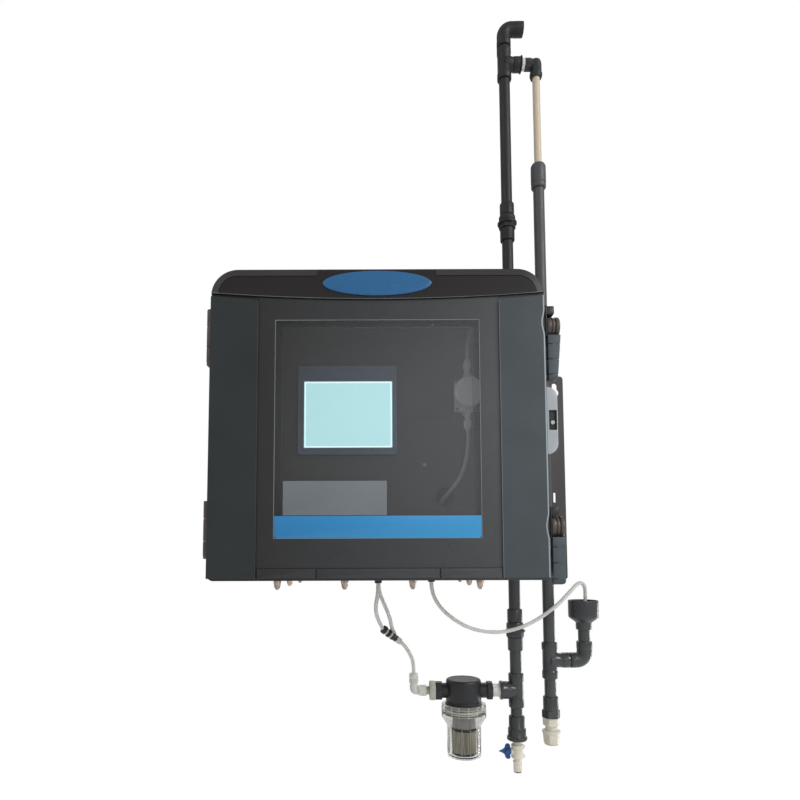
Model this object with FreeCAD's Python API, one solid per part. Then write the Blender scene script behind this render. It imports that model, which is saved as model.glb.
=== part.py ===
import FreeCAD, Part
import math
import os

# Online particle counter on a wall plate, with its sample pipework.
# Millimetres. X to the right, Y into the wall, Z up. The wall is at Y = 0 and the door faces -Y.
# The origin is on the wall, behind the middle of the cabinet.

V = FreeCAD.Vector
RIGHT, LEFT = V(1, 0, 0), V(-1, 0, 0)
FRONT = V(0, -1, 0)
UP, DOWN = V(0, 0, 1), V(0, 0, -1)

# Fits and clearances
RUNNING = 0.08
GLUED = 0.05
APART = 0.3

# Cabinet body
BODY_HALF_W = 220.0
BODY_HALF_H = 205.0
BODY_BACK = -20.0
BODY_FRONT = -283.0
BODY_WALL = 4.0
BODY_TOP_R = 32.0
BODY_BOTTOM_R = 8.0
SPACER_X = 165.0
SPACER_Z = 130.0
SPACER_R = 9.0
BOLT_R = 4.0
BOLT_HEAD_R = 7.0
BOLT_HEAD = 5.0

# Pipework, all in one plane in front of the wall plate
PIPE_Y = -45.0
PIPE_R = 10.0
PIPE_BORE_R = 8.0
SOCKET_R = 13.0
SOCKET_DEEP = 16.0
RISER_OUT = 16.0
PIPES_APART = 59.5
RISER_X = BODY_HALF_W + RISER_OUT
DRAIN_X = RISER_X + PIPES_APART

# Wall plate
PLATE_IN = 20.0
PLATE_OUT = 48.5
PLATE_DOWN = 17.0
PLATE_LOWER = 47.0
PLATE_LEFT = PLATE_IN - BODY_HALF_W
PLATE_RIGHT = DRAIN_X + PLATE_OUT
PLATE_BOTTOM = -BODY_HALF_H - PLATE_DOWN
PLATE_TOP = BODY_HALF_H - PLATE_LOWER
PLATE_THICK = 3.0
KEYHOLE_X = PLATE_RIGHT - 16.0
KEYHOLE_Z = PLATE_TOP - 31.0
KEYHOLE_R = 8.0
KEYHOLE_NECK_R = 4.75
KEYHOLE_RISE = 13.0
SLOT_X = PLATE_RIGHT - 20.5
SLOT_Z = -71.0
SLOT_WIDE = 4.5
SLOT_HIGH = 18.0
WALL_HOLE_R = 4.5
WALL_HOLE_EDGE_X = 15.0
WALL_HOLE_EDGE_Z = 18.0
WALL_HOLE_X = -PLATE_LEFT - WALL_HOLE_EDGE_X
WALL_HOLE_MID_Z = (PLATE_BOTTOM + PLATE_TOP) / 2
WALL_HOLE_HALF_Z = (PLATE_TOP - PLATE_BOTTOM) / 2 - WALL_HOLE_EDGE_Z

# Gland plate under the cabinet
GLAND_HALF_W = 156.0
GLAND_FRONT = BODY_FRONT + 4.0
GLAND_BACK = BODY_BACK - 18.0
GLAND_THICK = 3.0
GLAND_RIM = 16.0
STUD_X = GLAND_HALF_W - 16.0
STUD_INNER_X = 47.0
STUD_FRONT_Y = GLAND_FRONT + 11.0
STUD_MID_Y = -163.0
STUD_BACK_Y = GLAND_BACK - 14.0
STUD_R = 3.0
NUT_R = 5.5
NUT_HIGH = 7.0
DOME_HIGH = 9.0

# Door
DOOR_OVER = 5.0
DOOR_HALF_W = BODY_HALF_W + DOOR_OVER
DOOR_HALF_H = BODY_HALF_H + DOOR_OVER
DOOR_GAP = 2.0
DOOR_DEEP = 30.0
DOOR_BACK = BODY_FRONT - DOOR_GAP
DOOR_FRONT = DOOR_BACK - DOOR_DEEP
DOOR_SKIN = 4.0
DOOR_WALL = 4.0
DOOR_TOP_R = 36.0
DOOR_BOTTOM_R = 9.0
SEAL_DEEP = 3.0
SEAL_WIDE = 8.0
HOOD_SIDE_HIGH = 33.0
HOOD_MID_HIGH = 42.0
PILLAR_LEFT_WIDE = 65.0
PILLAR_RIGHT_WIDE = 62.0
HOOD_SIDE_Z = DOOR_HALF_H - HOOD_SIDE_HIGH
HOOD_MID_Z = DOOR_HALF_H - HOOD_MID_HIGH
PILLAR_LEFT_X = PILLAR_LEFT_WIDE - DOOR_HALF_W
PILLAR_RIGHT_X = DOOR_HALF_W - PILLAR_RIGHT_WIDE
PILLAR_BOTTOM_Z = 3.0 - DOOR_HALF_H
FASCIA_STEP = 3.0
JOINT_LINE = 1.0
FOOT_TOP_Z = 16.5 - DOOR_HALF_H
FOOT_SPLIT_X = 81.0
SPLIT_WIDE = 1.2
WINDOW_LEFT = -138.0
WINDOW_RIGHT = 137.0
WINDOW_TOP = 140.0
WINDOW_BOTTOM = -155.0
WINDOW_R = 5.0
PANE_THICK = 3.0
PANE_LAP = 9.0
BADGE_X = -0.5
BADGE_Z = DOOR_HALF_H - 21.0
BADGE_HALF_W = 73.0
BADGE_HALF_H = 17.0
BADGE_PROUD = 2.0

# Door hinges
HINGE_X = -DOOR_HALF_W - 6.0
HINGE_Y = DOOR_BACK - 5.0
HINGE_Z = (DOOR_HALF_H - 86.0, 68.0 - DOOR_HALF_H)
HINGE_HIGH = 78.0
KNUCKLE_R = 5.5
HINGE_PIN_R = 2.5
LEAF_THICK = 3.0
BODY_LEAF_LONG = 26.0
DOOR_KNUCKLE = 30.0

# Door latches
LATCH_Z = (DOOR_HALF_H - 76.0, 70.0 - DOOR_HALF_H)
LATCH_Y = DOOR_BACK - 8.0
LATCH_GAP = 1.6
LATCH_TAB_IN = DOOR_HALF_W + LATCH_GAP
LATCH_TAB = 2.8
LATCH_HUB_R = 15.0
LATCH_HUB_WIDE = 18.0
LATCH_PIN_R = 3.5
LATCH_REACH = 76.0
LATCH_LEVER_DEEP = 11.0
LATCH_TAB_UP = 27.0
LATCH_EAR_WIDE = 13.5
LATCH_EAR_DEEP = 16.0
LATCH_EAR_GAP = 0.6
LATCH_FOOT_Y = BODY_FRONT + 25.0

# Inside the cabinet
PANEL_FRONT = BODY_FRONT + 38.0
PANEL_THICK = 2.0
PANEL_HALF_W = 185.0
PANEL_TOP = 172.0
PANEL_BOTTOM = -172.0
POST_IN = 17.0
POST_X = PANEL_HALF_W - POST_IN
POST_LOW = PANEL_BOTTOM + POST_IN
POST_HIGH = PANEL_TOP - POST_IN
POST_R = 5.0
PANEL_SCREW_R = 4.0
BEZEL_LEFT = -115.5
BEZEL_RIGHT = 26.5
BEZEL_BOTTOM = -32.5
BEZEL_TOP = 97.0
BEZEL_PROUD = 6.0
SCREEN_LEFT = -107.0
SCREEN_RIGHT = 20.0
SCREEN_BOTTOM = -23.0
SCREEN_TOP = 74.0
SCREEN_THICK = 2.0
MODULE_DEEP = 38.0
MODULE_INSET = 6.0
BOARD_GAP = 12.0
BOARD_THICK = 1.6
RAIL_Z = 40.0
RAIL_HALF = 17.5
RAIL_LEFT = -170.0
RAIL_RIGHT = 60.0
RAIL_DEEP = 7.5
SUPPLY_LEFT = -150.0
SUPPLY_WIDE = 80.0
SUPPLY_HIGH = 125.0
SUPPLY_DEEP = 95.0

# Optical sensor on the inner panel
SENSOR_X = 128.0
SENSOR_Z = 51.0
SENSOR_HALF_W = 18.0
SENSOR_HALF_H = 22.0
SENSOR_PLATE = 7.0
SENSOR_BARREL_R = 19.0
SENSOR_BARREL = 14.0
SENSOR_CAP_R = 21.5
SENSOR_CAP = 14.0
SENSOR_PORT_Y = PANEL_FRONT - SENSOR_PLATE - 6.5
CELL_HALF_W = 7.0
CELL_REACH = 27.0
FITTING_R = 6.0
FITTING_HIGH = 24.0
FITTING_SMALL_R = 4.6

# Small tube, a quarter inch across
TUBE_R = 3.175
TUBE_BORE_R = 2.0
TUBE_HOLE_R = 14.0

# Bulkhead fittings through the gland plate: place and how far they hang down
SAMPLE_PORT_X = -2.0
SAMPLE_PORT_Y = (-166.0, -124.0)
DRAIN_PORT_X = 84.0
DRAIN_PORT_Y = -124.0
BULKHEAD_R = 8.0
BULKHEAD_DOWN = 12.0
BULKHEAD_UP = 14.0
BULKHEAD_SHANK_R = 5.5

VENT_LEG = 36.5
VENT_GAP = 2.5
TOP_TEE_HALF = 31.5
TOP_BRANCH_Z = 743.5
VENT_Z = TOP_BRANCH_Z + TOP_TEE_HALF + VENT_GAP + VENT_LEG
TOP_BRANCH_LONG = 30.0
WEIR_FLANGE_R = 15.0
WEIR_THREAD_R = 9.5
WEIR_HEX_R = 11.0
WEIR_LEG_R = 10.7
WEIR_DROP = 27.5
WEIR_BOTTOM = TOP_BRANCH_Z - WEIR_DROP
WEIR_GRIP = 14.0
OVERFLOW_TUBE_R = 6.8
OVERFLOW_BORE_R = 5.3
REDUCER_TOP = 546.0
REDUCER_BOTTOM = 499.0
REDUCER_R = 13.7
REDUCER_GRIP = 20.0

# Sample tee, inlet adapter and ball valve at the foot of the riser
SAMPLE_DOWN = 206.0
SAMPLE_Z = -BODY_HALF_H - SAMPLE_DOWN
SAMPLE_TEE_HALF = 29.0
SAMPLE_BRANCH_R = 15.3
SAMPLE_BRANCH_LONG = 28.5
ADAPTER_TOP = SAMPLE_Z - 43.5
ADAPTER_STEP = ADAPTER_TOP - 21.0
ADAPTER_FLANGE = ADAPTER_STEP - 14.0
ADAPTER_BOTTOM = ADAPTER_FLANGE - 6.0
ADAPTER_FLANGE_R = 17.3
VALVE_STEM_R = 8.0
VALVE_TOP = ADAPTER_BOTTOM - 7.0
VALVE_BOTTOM = VALVE_TOP - 23.5
VALVE_R = 11.0
VALVE_COLLET_R = 8.0
VALVE_END = VALVE_BOTTOM - 23.5
VALVE_BORE_R = 3.3
VALVE_BORE_DEEP = 16.0
LEVER_STEM_R = 3.0
LEVER_HUB_R = 6.0
LEVER_LONG = 13.0
LEVER_THICK = 3.0

# Unions: middle of the nut, and the shape shared by both
UNION_Z = (434.0, SAMPLE_Z + 104.0)
UNION_HALF = 36.0
UNION_NUT_R = 14.9
UNION_RING_R = 17.5
UNION_RING = 4.0
UNION_SLEEVE_R = 12.0
UNION_NECK_R = 11.0
UNION_NUT_HALF = 12.5
UNION_FACE = 3.0
UNION_FLANGE = 3.0

# Drain column
DRAIN_TEE_RISE = 51.0
DRAIN_TEE_Z = SAMPLE_Z + DRAIN_TEE_RISE
DRAIN_TEE_HALF = 31.0
DRAIN_BRANCH_LONG = 34.0
FUNNEL_OUT = 61.0
FUNNEL_X = DRAIN_X + FUNNEL_OUT
FUNNEL_ELBOW_TOP = DRAIN_TEE_Z + 32.5
FUNNEL_NECK_BOTTOM = FUNNEL_ELBOW_TOP + 20.0
FUNNEL_NECK_TOP = FUNNEL_NECK_BOTTOM + 13.0
FUNNEL_CUP_BOTTOM = FUNNEL_NECK_TOP + 9.0
FUNNEL_CUP = 29.0
FUNNEL_TOP = FUNNEL_CUP_BOTTOM + FUNNEL_CUP
FUNNEL_R = 25.6
FUNNEL_WALL = 2.0
DRAIN_DROP = 61.5
DRAIN_SOCKET = 23.0
DRAIN_HEX = 12.5
DRAIN_ADAPTER_TOP = DRAIN_TEE_Z - DRAIN_DROP
DRAIN_HEX_TOP = DRAIN_ADAPTER_TOP - DRAIN_SOCKET
DRAIN_HEX_BOTTOM = DRAIN_HEX_TOP - DRAIN_HEX
DRAIN_HEX_R = 16.0
DRAIN_TAIL_R = 12.8
DRAIN_WAIST = 22.0
DRAIN_NUT = 24.0
DRAIN_NUT_TOP = DRAIN_HEX_BOTTOM - DRAIN_WAIST
DRAIN_END = DRAIN_NUT_TOP - DRAIN_NUT
DRAIN_NUT_R = 15.5
DRAIN_TAIL_END_R = 10.0
DRAIN_OUT_R = 6.4
DRAIN_OUT_DEEP = 20.0

# Strainer
FILTER_OUT = 91.6
FILTER_X = RISER_X - FILTER_OUT
FILTER_HEAD_R = 30.5
FILTER_HEAD_RISE = 20.5
FILTER_HEAD_TOP = SAMPLE_Z + FILTER_HEAD_RISE
FILTER_NUT_R = 16.5
FILTER_NUT = 9.0
FILTER_NECK_R = 14.0
FILTER_FACE = 49.3
FILTER_HEAD_DROP = 22.0
BOWL_FLANGE = 22.0
BOWL_TOP = SAMPLE_Z - FILTER_HEAD_DROP
BOWL_FLANGE_BOTTOM = BOWL_TOP - BOWL_FLANGE
BOWL_FLANGE_R = 38.5
BOWL_CONE = 13.0
BOWL_SHOULDER = BOWL_FLANGE_BOTTOM - BOWL_CONE
BOWL_R = 29.0
BOWL_LONG = 53.0
BOWL_BOTTOM = BOWL_SHOULDER - BOWL_LONG
BOWL_WALL = 2.5
HEAD_SKIRT_R = 33.0
HEAD_SKIRT = 19.0
HEAD_SKIRT_BOTTOM = BOWL_TOP - HEAD_SKIRT
MESH_R = 21.3
MESH_DOWN = 40.0
MESH_LONG = 45.0
MESH_TOP = BOWL_TOP - MESH_DOWN
MESH_BOTTOM = MESH_TOP - MESH_LONG
MESH_WALL = 1.5
MESH_CAP = 5.0
NIPPLE_R = 10.5
NIPPLE_GRIP = 12.0
ADAPTER_NUT = 10.0
ELBOW_OUT = 86.4
ELBOW_X = FILTER_X - ELBOW_OUT
ELBOW_NUT_R = 9.9
ELBOW_NUT = 13.5
ELBOW_TOP = SAMPLE_Z + 30.0
ELBOW_R = 7.8
ELBOW_LEG_R = 7.0
ELBOW_NUT_START = 8.5

# Pipe clamps: height, half width, half height, for the riser and for the drain column
CLAMP_Z = (61.0, -150.0)
RISER_CLAMP_HALF_W = 14.0
RISER_CLAMP_HALF_H = 22.0
DRAIN_CLAMP_HALF_W = 20.0
DRAIN_CLAMP_HALF_H = 60.0
LOW_CLAMP_HALF_H = 20.0
CLAMP_OVER = 8.0
CLAMP_POCKET_HIGH = 36.0
CLAMP_POCKET_WIDE = 14.0
CLAMP_POCKET_DEEP = 4.5

# Y connector between the two sample tubes and the lower one: its ends, in space
Y_START = V(SAMPLE_PORT_X + 6.5, PIPE_Y - 39.0, SAMPLE_Z + 111.0)
Y_END = Y_START + V(30.0, 14.0, -24.0)
Y_BODY_R = 5.6
Y_NUT_R = 7.2
Y_NUT = 7.0
Y_BRANCH_FROM = Y_START + V(16.5, 8.0, -4.5)
Y_BRANCH_R = 4.6


def box(x0, x1, y0, y1, z0, z1):
    return Part.makeBox(x1 - x0, y1 - y0, z1 - z0, V(x0, y0, z0))


def rod(radius, start, end):
    along = end - start
    return Part.makeCylinder(radius, along.Length, start, along)


def hex_bar(radius, start, end):
    """A six-sided bar whose corners are at the radius."""
    along = end - start
    points = []
    for corner in range(7):
        turn = math.radians(60 * corner)
        points.append(V(radius * math.cos(turn), radius * math.sin(turn), 0))
    bar = Part.Face(Part.makePolygon(points)).extrude(V(0, 0, along.Length))
    bar.Placement = FreeCAD.Placement(start, FreeCAD.Rotation(UP, along))
    return bar


def turned(profile, x, y):
    """A solid turned about a vertical line, from (radius, height) corners."""
    points = [V(radius, 0, height) for radius, height in profile]
    points.append(points[0])
    face = Part.Face(Part.makePolygon(points))
    solid = face.revolve(V(0, 0, 0), UP, 360)
    solid.translate(V(x, y, 0))
    return solid


def join(*shapes):
    return shapes[0].multiFuse(list(shapes[1:])).removeSplitter()


def group(shapes):
    return Part.makeCompound(shapes)


def slab(left, right, bottom, top, bottom_r, top_r, y0, y1):
    """A plate with rounded corners, flat in X and Z, from y0 back to y1."""
    k = math.sqrt(0.5)

    def arc(cx, cz, radius, turn):
        points = []
        for part in (0, 45, 90):
            angle = math.radians(turn + part)
            points.append(V(cx + radius * math.cos(angle), y0, cz + radius * math.sin(angle)))
        return Part.Arc(*points).toShape()

    edges = [
        Part.makeLine(V(left + bottom_r, y0, bottom), V(right - bottom_r, y0, bottom)),
        arc(right - bottom_r, bottom + bottom_r, bottom_r, 270),
        Part.makeLine(V(right, y0, bottom + bottom_r), V(right, y0, top - top_r)),
        arc(right - top_r, top - top_r, top_r, 0),
        Part.makeLine(V(right - top_r, y0, top), V(left + top_r, y0, top)),
        arc(left + top_r, top - top_r, top_r, 90),
        Part.makeLine(V(left, y0, top - top_r), V(left, y0, bottom + bottom_r)),
        arc(left + bottom_r, bottom + bottom_r, bottom_r, 180),
    ]
    return Part.Face(Part.Wire(edges)).extrude(V(0, y1 - y0, 0))


def tube_path(points, radius, bore_r, label):
    """A tube along straight runs joined by tangent arcs."""
    edges = []
    here = points[0]
    tightest = None
    for before, corner, after in zip(points, points[1:], points[2:]):
        back, ahead = before - corner, after - corner
        half_turn = (math.pi - back.getAngle(ahead)) / 2
        reach = 0.45 * min(back.Length, ahead.Length)
        bend = reach / math.tan(half_turn)
        tightest = bend if tightest is None else min(tightest, bend)
        back.normalize()
        ahead.normalize()
        start, end = corner + back * reach, corner + ahead * reach
        inward = back + ahead
        inward.normalize()
        middle = corner + inward * (bend / math.cos(half_turn) - bend)
        edges.append(Part.makeLine(here, start))
        edges.append(Part.Arc(start, middle, end).toShape())
        here = end
    edges.append(Part.makeLine(here, points[-1]))
    path = Part.Wire(edges)
    along = points[1] - points[0]
    solids = []
    for r in (radius, bore_r):
        ring = Part.Wire([Part.makeCircle(r, points[0], along)])
        solids.append(path.makePipeShell([ring], True, False))
    tube = solids[0].cut(solids[1])
    section = math.pi * (radius ** 2 - bore_r ** 2)
    print(label, "length", round(path.Length, 1), "tightest radius", round(tightest, 1),
          "volume over section times length", round(tube.Volume / (section * path.Length), 4))
    return tube


def wall_plate():
    plate = box(PLATE_LEFT, PLATE_RIGHT, -PLATE_THICK, 0, PLATE_BOTTOM, PLATE_TOP)
    for x in (PLATE_LEFT, PLATE_RIGHT):
        edges = [e for e in plate.Edges if abs(e.CenterOfMass.x - x) < 0.01 and e.Length < PLATE_THICK + 0.01]
        plate = plate.makeFillet(6.0, edges)
    front, rear = -PLATE_THICK - 1, 1
    cuts = [
        rod(KEYHOLE_R, V(KEYHOLE_X, front, KEYHOLE_Z), V(KEYHOLE_X, rear, KEYHOLE_Z)),
        rod(KEYHOLE_NECK_R, V(KEYHOLE_X, front, KEYHOLE_Z + KEYHOLE_RISE),
            V(KEYHOLE_X, rear, KEYHOLE_Z + KEYHOLE_RISE)),
        box(KEYHOLE_X - KEYHOLE_NECK_R, KEYHOLE_X + KEYHOLE_NECK_R, front, rear,
            KEYHOLE_Z, KEYHOLE_Z + KEYHOLE_RISE),
        box(SLOT_X - SLOT_WIDE / 2, SLOT_X + SLOT_WIDE / 2, front, rear,
            SLOT_Z - SLOT_HIGH / 2, SLOT_Z + SLOT_HIGH / 2),
    ]
    for x in (-WALL_HOLE_X, WALL_HOLE_X):
        for side in (-1, 1):
            z = WALL_HOLE_MID_Z + side * WALL_HOLE_HALF_Z
            cuts.append(rod(WALL_HOLE_R, V(x, front, z), V(x, rear, z)))
    for x in (-SPACER_X, SPACER_X):
        for z in (-SPACER_Z, SPACER_Z):
            cuts.append(rod(BOLT_R, V(x, front, z), V(x, rear, z)))
    return plate.cut(cuts)


def cabinet_body():
    body = slab(-BODY_HALF_W, BODY_HALF_W, -BODY_HALF_H, BODY_HALF_H,
                BODY_BOTTOM_R, BODY_TOP_R, BODY_FRONT, BODY_BACK)
    inner_w, inner_h = BODY_HALF_W - BODY_WALL, BODY_HALF_H - BODY_WALL
    body = body.cut(slab(-inner_w, inner_w, -inner_h, inner_h, BODY_BOTTOM_R - BODY_WALL,
                         BODY_TOP_R - BODY_WALL, BODY_FRONT - 1, BODY_BACK - BODY_WALL))
    cuts = [box(-GLAND_HALF_W + GLAND_RIM, GLAND_HALF_W - GLAND_RIM,
                GLAND_FRONT + GLAND_RIM + 2, GLAND_BACK - GLAND_RIM,
                -BODY_HALF_H - 1, -BODY_HALF_H + BODY_WALL + 1)]
    for x, y in stud_places():
        cuts.append(rod(STUD_R + GLUED, V(x, y, -BODY_HALF_H - 1), V(x, y, -BODY_HALF_H + BODY_WALL + 1)))
    for x in (-SPACER_X, SPACER_X):
        for z in (-SPACER_Z, SPACER_Z):
            cuts.append(rod(BOLT_R + GLUED, V(x, BODY_BACK - BODY_WALL - 1, z), V(x, BODY_BACK + 1, z)))
    return body.cut(cuts)


def stud_places():
    outer = [(side * STUD_X, y) for side in (-1, 1) for y in (STUD_FRONT_Y, STUD_MID_Y, STUD_BACK_Y)]
    return outer + [(side * STUD_INNER_X, STUD_FRONT_Y) for side in (-1, 1)]


def bulkhead_places():
    return [(SAMPLE_PORT_X, y) for y in SAMPLE_PORT_Y] + [(DRAIN_PORT_X, DRAIN_PORT_Y)]


def gland_plate():
    bottom = -BODY_HALF_H - GLAND_THICK
    plate = box(-GLAND_HALF_W, GLAND_HALF_W, GLAND_FRONT, GLAND_BACK, bottom, -BODY_HALF_H)
    cuts = []
    for x, y in stud_places():
        cuts.append(rod(STUD_R + GLUED, V(x, y, bottom - 1), V(x, y, -BODY_HALF_H + 1)))
    for x, y in bulkhead_places():
        cuts.append(rod(BULKHEAD_SHANK_R + GLUED, V(x, y, bottom - 1), V(x, y, -BODY_HALF_H + 1)))
    return plate.cut(cuts)


def gland_nuts():
    """Studs with dome nuts below the gland plate and their heads inside the cabinet."""
    top = -BODY_HALF_H + BODY_WALL
    seat = -BODY_HALF_H - GLAND_THICK
    nuts = []
    for x, y in stud_places():
        stud = rod(STUD_R, V(x, y, top), V(x, y, seat))
        head = rod(NUT_R, V(x, y, top + STUD_R), V(x, y, top))
        nut = hex_bar(NUT_R, V(x, y, seat), V(x, y, seat - NUT_HIGH))
        waist = seat - NUT_HIGH
        dome = turned([(0, waist), (NUT_R * 0.83, waist), (NUT_R * 0.83, waist - DOME_HIGH * 0.35),
                       (NUT_R * 0.6, waist - DOME_HIGH * 0.75), (NUT_R * 0.25, waist - DOME_HIGH),
                       (0, waist - DOME_HIGH)], x, y)
        nuts.append(join(stud, head, nut, dome))
    return group(nuts)


def wall_spacers():
    """Spacer, bolt and bolt head that hold the cabinet on the wall plate."""
    bolts = []
    inside = BODY_BACK - BODY_WALL
    for x in (-SPACER_X, SPACER_X):
        for z in (-SPACER_Z, SPACER_Z):
            bolts.append(join(
                rod(SPACER_R, V(x, BODY_BACK, z), V(x, -PLATE_THICK, z)),
                rod(BOLT_R, V(x, inside, z), V(x, 0, z)),
                hex_bar(BOLT_HEAD_R, V(x, inside - BOLT_HEAD, z), V(x, inside, z))))
    return group(bolts)


def door_seal():
    w, h, r = BODY_HALF_W - BODY_WALL, BODY_HALF_H - BODY_WALL, BODY_TOP_R - BODY_WALL
    outer = slab(-w, w, -h, h, BODY_BOTTOM_R - BODY_WALL, r, BODY_FRONT - SEAL_DEEP / 2, BODY_FRONT + SEAL_WIDE)
    w, h, r = w - SEAL_DEEP, h - SEAL_DEEP, r - SEAL_DEEP
    hole = slab(-w, w, -h, h, 1.0, r, BODY_FRONT - SEAL_WIDE, BODY_FRONT + SEAL_WIDE + 1)
    return outer.cut(hole)


def front_outline(left, right, bottom, top, y0, y1):
    """The door's outline from y0 to y1, kept between the given sides."""
    whole = slab(-DOOR_HALF_W, DOOR_HALF_W, -DOOR_HALF_H, DOOR_HALF_H, DOOR_BOTTOM_R, DOOR_TOP_R, y0, y1)
    return whole.common(box(left, right, y0 - 1, y1 + 1, bottom, top))


def hood_cutter(drop, y0, y1):
    """The shallow curve under the hood: everything below it, lowered by drop."""
    side = V(DOOR_HALF_W + 1, y0, HOOD_SIDE_Z - drop)
    points = [V(-side.x, y0, side.z), V(0, y0, HOOD_MID_Z - drop), side]
    low = -DOOR_HALF_H - 10
    edges = [
        Part.Arc(*points).toShape(),
        Part.makeLine(side, V(side.x, y0, low)),
        Part.makeLine(V(side.x, y0, low), V(-side.x, y0, low)),
        Part.makeLine(V(-side.x, y0, low), points[0]),
    ]
    return Part.Face(Part.Wire(edges)).extrude(V(0, y1 - y0, 0))


def door_frame():
    face = DOOR_FRONT + DOOR_SKIN
    body = slab(-DOOR_HALF_W, DOOR_HALF_W, -DOOR_HALF_H, DOOR_HALF_H,
                DOOR_BOTTOM_R, DOOR_TOP_R, face, DOOR_BACK)
    w, h = DOOR_HALF_W - DOOR_WALL, DOOR_HALF_H - DOOR_WALL
    hollow = slab(-w, w, -h, h, DOOR_BOTTOM_R - DOOR_WALL, DOOR_TOP_R - DOOR_WALL,
                  face + DOOR_SKIN, DOOR_BACK + 1)
    window = box(WINDOW_LEFT, WINDOW_RIGHT, DOOR_FRONT - 5, DOOR_BACK + 5, WINDOW_BOTTOM, WINDOW_TOP)
    centre = front_outline(PILLAR_LEFT_X, PILLAR_RIGHT_X, FOOT_TOP_Z, DOOR_HALF_H,
                           DOOR_FRONT + FASCIA_STEP, face)
    centre = centre.common(hood_cutter(JOINT_LINE, DOOR_FRONT - 1, face + 1))
    frame = join(body.cut(hollow), centre).cut(window)
    scallops = []
    for z in LATCH_Z:
        deep = DOOR_HALF_W - DOOR_WALL + 1
        scallops.append(box(deep, DOOR_HALF_W + 1, LATCH_Y - LATCH_HUB_R - 2, DOOR_BACK + 1,
                            z - LATCH_HUB_R - 1, z + LATCH_HUB_R + 1))
    return frame.cut(scallops)


def door_hood():
    back = DOOR_FRONT + DOOR_SKIN
    hood = front_outline(-DOOR_HALF_W, DOOR_HALF_W, 0, DOOR_HALF_H, DOOR_FRONT, back)
    hood = hood.cut(hood_cutter(0, DOOR_FRONT - 1, back + 1))
    rim = [e for e in hood.Edges if abs(e.BoundBox.YMin - DOOR_FRONT) < 0.01
           and abs(e.BoundBox.YMax - DOOR_FRONT) < 0.01 and e.CenterOfMass.z > HOOD_SIDE_Z]
    return hood.makeChamfer(DOOR_SKIN * 0.7, rim)


def door_trim():
    """Two pillars and the foot bar, which is in three pieces."""
    back = DOOR_FRONT + DOOR_SKIN
    left = front_outline(-DOOR_HALF_W, PILLAR_LEFT_X, PILLAR_BOTTOM_Z, DOOR_HALF_H, DOOR_FRONT, back)
    right = front_outline(PILLAR_RIGHT_X, DOOR_HALF_W, PILLAR_BOTTOM_Z, DOOR_HALF_H, DOOR_FRONT, back)
    under = hood_cutter(JOINT_LINE, DOOR_FRONT - 1, back + 1)
    pillars = [side.common(under) for side in (left, right)]
    foot = []
    gap = SPLIT_WIDE / 2
    stops = (PILLAR_LEFT_X + gap, -FOOT_SPLIT_X, FOOT_SPLIT_X, PILLAR_RIGHT_X - gap)
    for start, end in zip(stops, stops[1:]):
        foot.append(box(start + gap, end - gap, DOOR_FRONT + 1, back, PILLAR_BOTTOM_Z, FOOT_TOP_Z - gap))
    return group(pillars + foot)


def window_pane():
    front = DOOR_FRONT + FASCIA_STEP
    lip = DOOR_FRONT + 2 * DOOR_SKIN
    gap = APART / 2
    face = slab(WINDOW_LEFT + gap, WINDOW_RIGHT - gap, WINDOW_BOTTOM + gap, WINDOW_TOP - gap,
                1.0, 1.0, front, lip + PANE_THICK)
    step = slab(WINDOW_LEFT - PANE_LAP, WINDOW_RIGHT + PANE_LAP, WINDOW_BOTTOM - PANE_LAP,
                WINDOW_TOP + PANE_LAP, WINDOW_R, WINDOW_R, lip, lip + PANE_THICK)
    hollow = box(WINDOW_LEFT + PANE_LAP, WINDOW_RIGHT - PANE_LAP, front + PANE_THICK,
                 lip + PANE_THICK + 1, WINDOW_BOTTOM + PANE_LAP, WINDOW_TOP - PANE_LAP)
    return join(face, step).cut(hollow)


def badge():
    disc = Part.Ellipse(V(0, 0, 0), BADGE_HALF_W, BADGE_HALF_H).toShape()
    plate = Part.Face(Part.Wire([disc])).extrude(V(0, 0, BADGE_PROUD))
    plate.Placement = FreeCAD.Placement(V(BADGE_X, DOOR_FRONT, BADGE_Z), FreeCAD.Rotation(RIGHT, 90))
    return plate


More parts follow.
